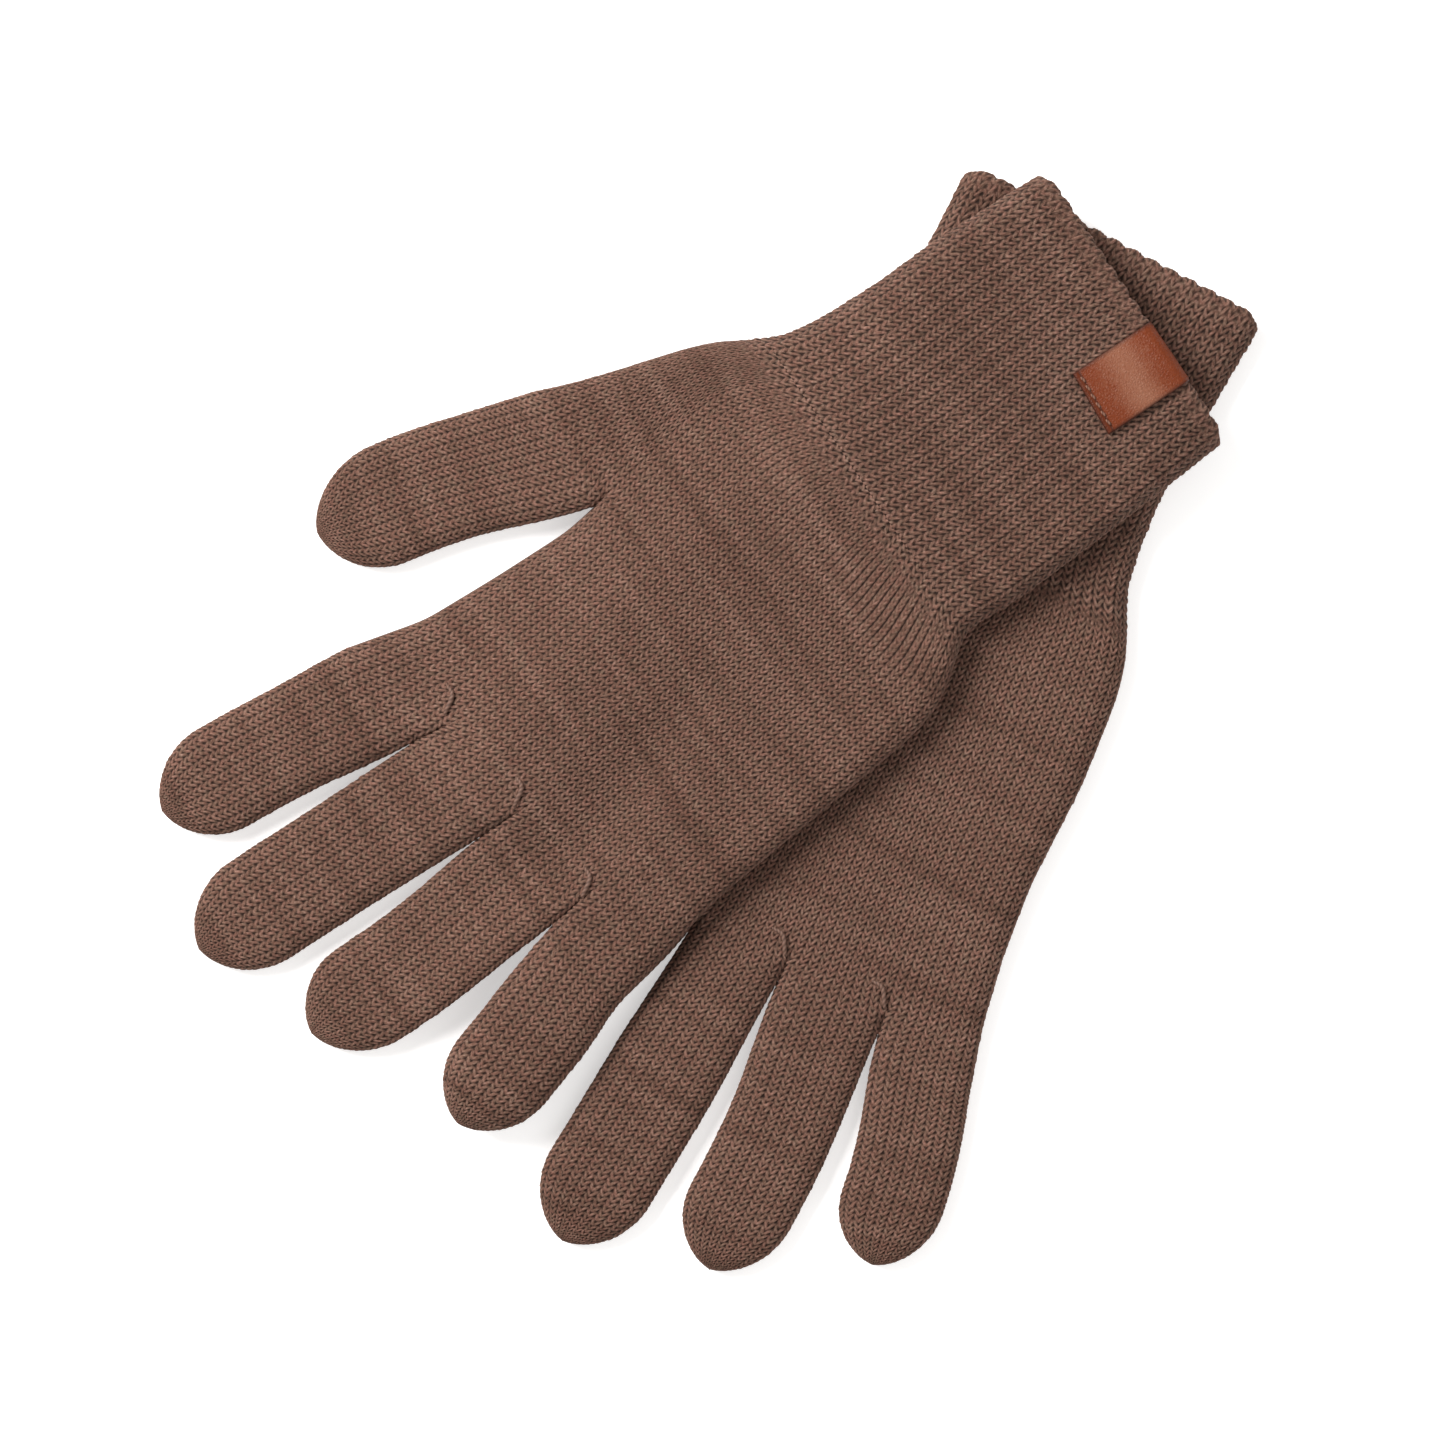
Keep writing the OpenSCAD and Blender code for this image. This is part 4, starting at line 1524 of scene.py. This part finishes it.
@dataclass(frozen=True)
class Studio:
    """The pale table, the soft lights and the camera.

    Args:
        view_centre: what the camera looks straight down at, in millimetres.
        view_width: how much it sees across.
        camera_turn: the way to the view's right, in degrees from +X.
        camera_height: how far up it stands.
        sensor: the width of the camera's sensor.
        key_power: watts of the main light.
        fill_power: watts of the light across from it.
        sky: brightness of the light from all round.
        glow: brightness of the light table itself.
        table_half: half the table's side, in metres.
    """

    view_centre: tuple[float, float] = (13.4, 13.2)
    view_width: float = 346.8
    camera_turn: float = -124.0
    camera_height: float = 3000.0
    sensor: float = 36.0
    key_power: float = 36.0
    fill_power: float = 8.0
    sky: float = 0.5
    glow: float = 0.45
    table_half: float = 3.0

    def build(self) -> None:
        """Set the table, the lights and the camera."""
        self.table()
        turn = math.radians(self.camera_turn)
        right = np.array([math.cos(turn), math.sin(turn)])
        up = np.array([-right[1], right[0]])
        self.softbox("key_softbox", up * 0.70 - right * 0.95, 1.05, 0.8, self.key_power)
        self.softbox("fill_softbox", right * 0.9 - up * 0.5, 1.3, 1.6, self.fill_power)
        world = bpy.data.worlds.new("studio_air")
        world.use_nodes = True
        air = world.node_tree.nodes["Background"]
        air.inputs["Color"].default_value = (1.0, 0.99, 0.975, 1.0)
        air.inputs["Strength"].default_value = self.sky
        bpy.context.scene.world = world
        lens = bpy.data.cameras.new("camera")
        lens.sensor_width = self.sensor
        lens.lens = self.sensor * self.camera_height / self.view_width
        lens.clip_end = 20.0
        camera = bpy.data.objects.new("camera", lens)
        camera.location = (self.view_centre[0] * MM, self.view_centre[1] * MM, self.camera_height * MM)
        camera.rotation_euler = (0.0, 0.0, turn)
        bpy.context.scene.collection.objects.link(camera)
        bpy.context.scene.camera = camera
        bpy.context.scene.view_settings.view_transform = "Standard"

    def softbox(self, name: str, away: np.ndarray, height: float, size: float, power: float) -> None:
        """Hang a square light that looks at the gloves.

        Args:
            name: its name.
            away: where it hangs beside the gloves, in metres.
            height: how high it hangs, in metres.
            size: its side, in metres.
            power: its watts.
        """
        light = bpy.data.lights.new(name, "AREA")
        light.size = size
        light.energy = power
        light.color = (1.0, 0.985, 0.965)
        obj = bpy.data.objects.new(name, light)
        obj.location = (float(away[0]), float(away[1]), height)
        look = -np.array([away[0], away[1], height])
        flat = math.hypot(look[0], look[1])
        heading = math.atan2(look[1], look[0]) - math.pi / 2.0
        obj.rotation_euler = (math.atan2(flat, -look[2]), 0.0, heading)
        bpy.context.scene.collection.objects.link(obj)

    def table(self) -> None:
        """Lay a plain pale light table under the gloves."""
        mesh = bpy.data.meshes.new("table_top")
        half = self.table_half
        corners = [(-half, -half, 0), (half, -half, 0), (half, half, 0), (-half, half, 0)]
        mesh.from_pydata(corners, [], [(0, 1, 2, 3)])
        obj = bpy.data.objects.new("table_top", mesh)
        shop = NodeShop("table_paint")
        mottle = shop.noise(shop.place(), 3.0, 3.0)
        paint = shop.mix((0.90, 0.90, 0.90), (0.93, 0.93, 0.93), mottle)
        shop.surface(Base_Color=paint, Roughness=0.8, Emission_Color=(1.0, 1.0, 1.0),
                     Emission_Strength=self.glow)
        mesh.materials.append(shop.material)
        bpy.context.scene.collection.objects.link(obj)


def left_plan() -> GlovePlan:
    """Return the plan of the left glove, which lies on top with its back up."""
    digits = (DigitPlan("little", (-72.4, 240.8), 25.6, 10, -0.4),
              DigitPlan("ring", (-35.0, 257.9), 26.4, 11, -1.1),
              DigitPlan("middle", (-3.2, 269.0), 27.0, 11, 0.1),
              DigitPlan("index", (29.2, 257.8), 26.0, 11, 0.5),
              DigitPlan("thumb", (63.8, 189.7), 29.0, 13, 1.5))
    return GlovePlan(
        side=Side.LEFT, lay=Lay.through("left_cuff_fold", (-0.5, 74.85), -1.0), digits=digits,
        knuckles=((-70.3, 193.4), (-45.5, 194.7), (-18.5, 196.1), (9.1, 197.6), (36.8, 199.0)),
        left_edge=((-39.5, 0), (-41.5, 30), (-43, 60), (-42, 75), (-47, 80), (-54, 90), (-56.5, 100),
                   (-58.5, 120), (-60.5, 140), (-62.5, 160), (-65.5, 173), (-70.3, 193.4)),
        gathers=((-28.0, 87.5, 20.0, 8.0, 0.72), (13.0, 88.0, 14.0, 7.0, 0.35),
                 (-2.0, 100.0, 8.0, 6.0, 0.3)),
        thumb_edge=((37.6, 0), (38.4, 30), (37.8, 45), (38.4, 60), (39.6, 70), (42.4, 76), (47.9, 84),
                    (51.0, 92), (53.7, 101), (56.6, 111), (59.6, 120), (62.8, 128)),
        palm_edge=((30, 75), (36, 85), (37.5, 92), (37, 100), (34.5, 115), (31.8, 131), (30.5, 140),
                   (31, 160), (32, 180), (36.8, 199)))


def right_plan() -> GlovePlan:
    """Return the plan of the right glove, which lies below with its palm up."""
    digits = (DigitPlan("little", (-69.5, 240.2), 24.6, 10, -1.3),
              DigitPlan("ring", (-35.3, 259.5), 26.0, 11, -1.5),
              DigitPlan("middle", (-1.0, 270.0), 27.0, 11, -0.2),
              DigitPlan("index", (34.5, 254.0), 23.0, 11, 0.5),
              DigitPlan("thumb", (62.0, 190.5), 26.0, 13, 2.0))
    return GlovePlan(
        side=Side.RIGHT, lay=Lay.through("right_ring_fold", (-31.0, 190.0)), digits=digits, mouth_bow=1.9,
        crotch_depth=8.0,
        knuckles=((-69.8, 190.0), (-44.5, 190.0), (-17.5, 190.0), (7.0, 190.0), (34.0, 190.0)),
        left_edge=((-45.4, 0), (-44.7, 15), (-43.7, 45), (-45.2, 60), (-47.0, 69), (-50.0, 75),
                   (-53.2, 80), (-55.4, 85), (-57.2, 92), (-58.2, 100), (-59.8, 115), (-60.2, 142),
                   (-62.4, 160), (-65.8, 177), (-69.8, 190)),
        thumb_edge=((33.5, 0), (33, 30), (33.5, 60), (36, 75), (40.5, 83), (46, 92), (53, 106), (58, 118),
                    (62.5, 128)),
        palm_edge=((25, 75), (31, 85), (35, 92), (36, 100), (34.5, 115), (31.8, 131), (30.5, 140),
                   (30.5, 160), (32, 177), (34, 190)))


def drape_over(glove: KnitGlove, table: HeightMap) -> HeightMap:
    """Return the heights that a glove gives to whatever is laid on top of it.

    Args:
        glove: the glove that lies on the table.
        table: the empty table.

    Returns:
        The drape over the glove.
    """
    pile = HeightMap(table.low, table.high)
    for piece in glove.pieces:
        points = np.empty(len(piece.data.vertices) * 3, dtype=np.float32)
        piece.data.vertices.foreach_get("co", points)
        pile.raise_to(points.reshape(-1, 3) / MM)
    pile.relax(slope=0.3, reach=24, rounds=12)
    return pile


def main() -> None:
    """Build the studio, the lower glove, the upper glove draped over it, and the label."""
    logging.basicConfig(level=logging.INFO, format="%(name)s: %(message)s")
    Studio().build()
    plain = WoolFinish("plain_wool").material()
    ribbed = WoolFinish("rib_wool").material()
    edge = WoolFinish("edge_wool", gap=0.8).material()
    # the join yarn's crest colour and the painted shade between its plies
    yarn_shades = ((0.2, 0.11, 0.08), (0.06, 0.03, 0.02))
    margin = 20.0
    low, high = ([n / MM for n in corner] for corner in CAD_BOX)
    table = HeightMap((low[0] - margin, low[1] - margin), (high[0] + margin, high[1] + margin))
    right = KnitGlove(right_plan(), table, clearance=0.6)
    right.build_hand(plain)
    right.build_cuff(ribbed, edge)
    pile = drape_over(right, table)
    right.build_joins(ThreadFinish("join_yarn_right", *yarn_shades).material())
    left = KnitGlove(left_plan(), pile, clearance=0.8)
    left.build_hand(plain)
    left.build_cuff(ribbed, edge)
    left.build_joins(ThreadFinish("join_yarn_left", *yarn_shades).material())
    LabelTab(left).build(LeatherFinish().material(), ThreadFinish().material())
    LOG.info("made %d pieces", len(left.pieces) + len(right.pieces))


if __name__ == "__main__":
    main()
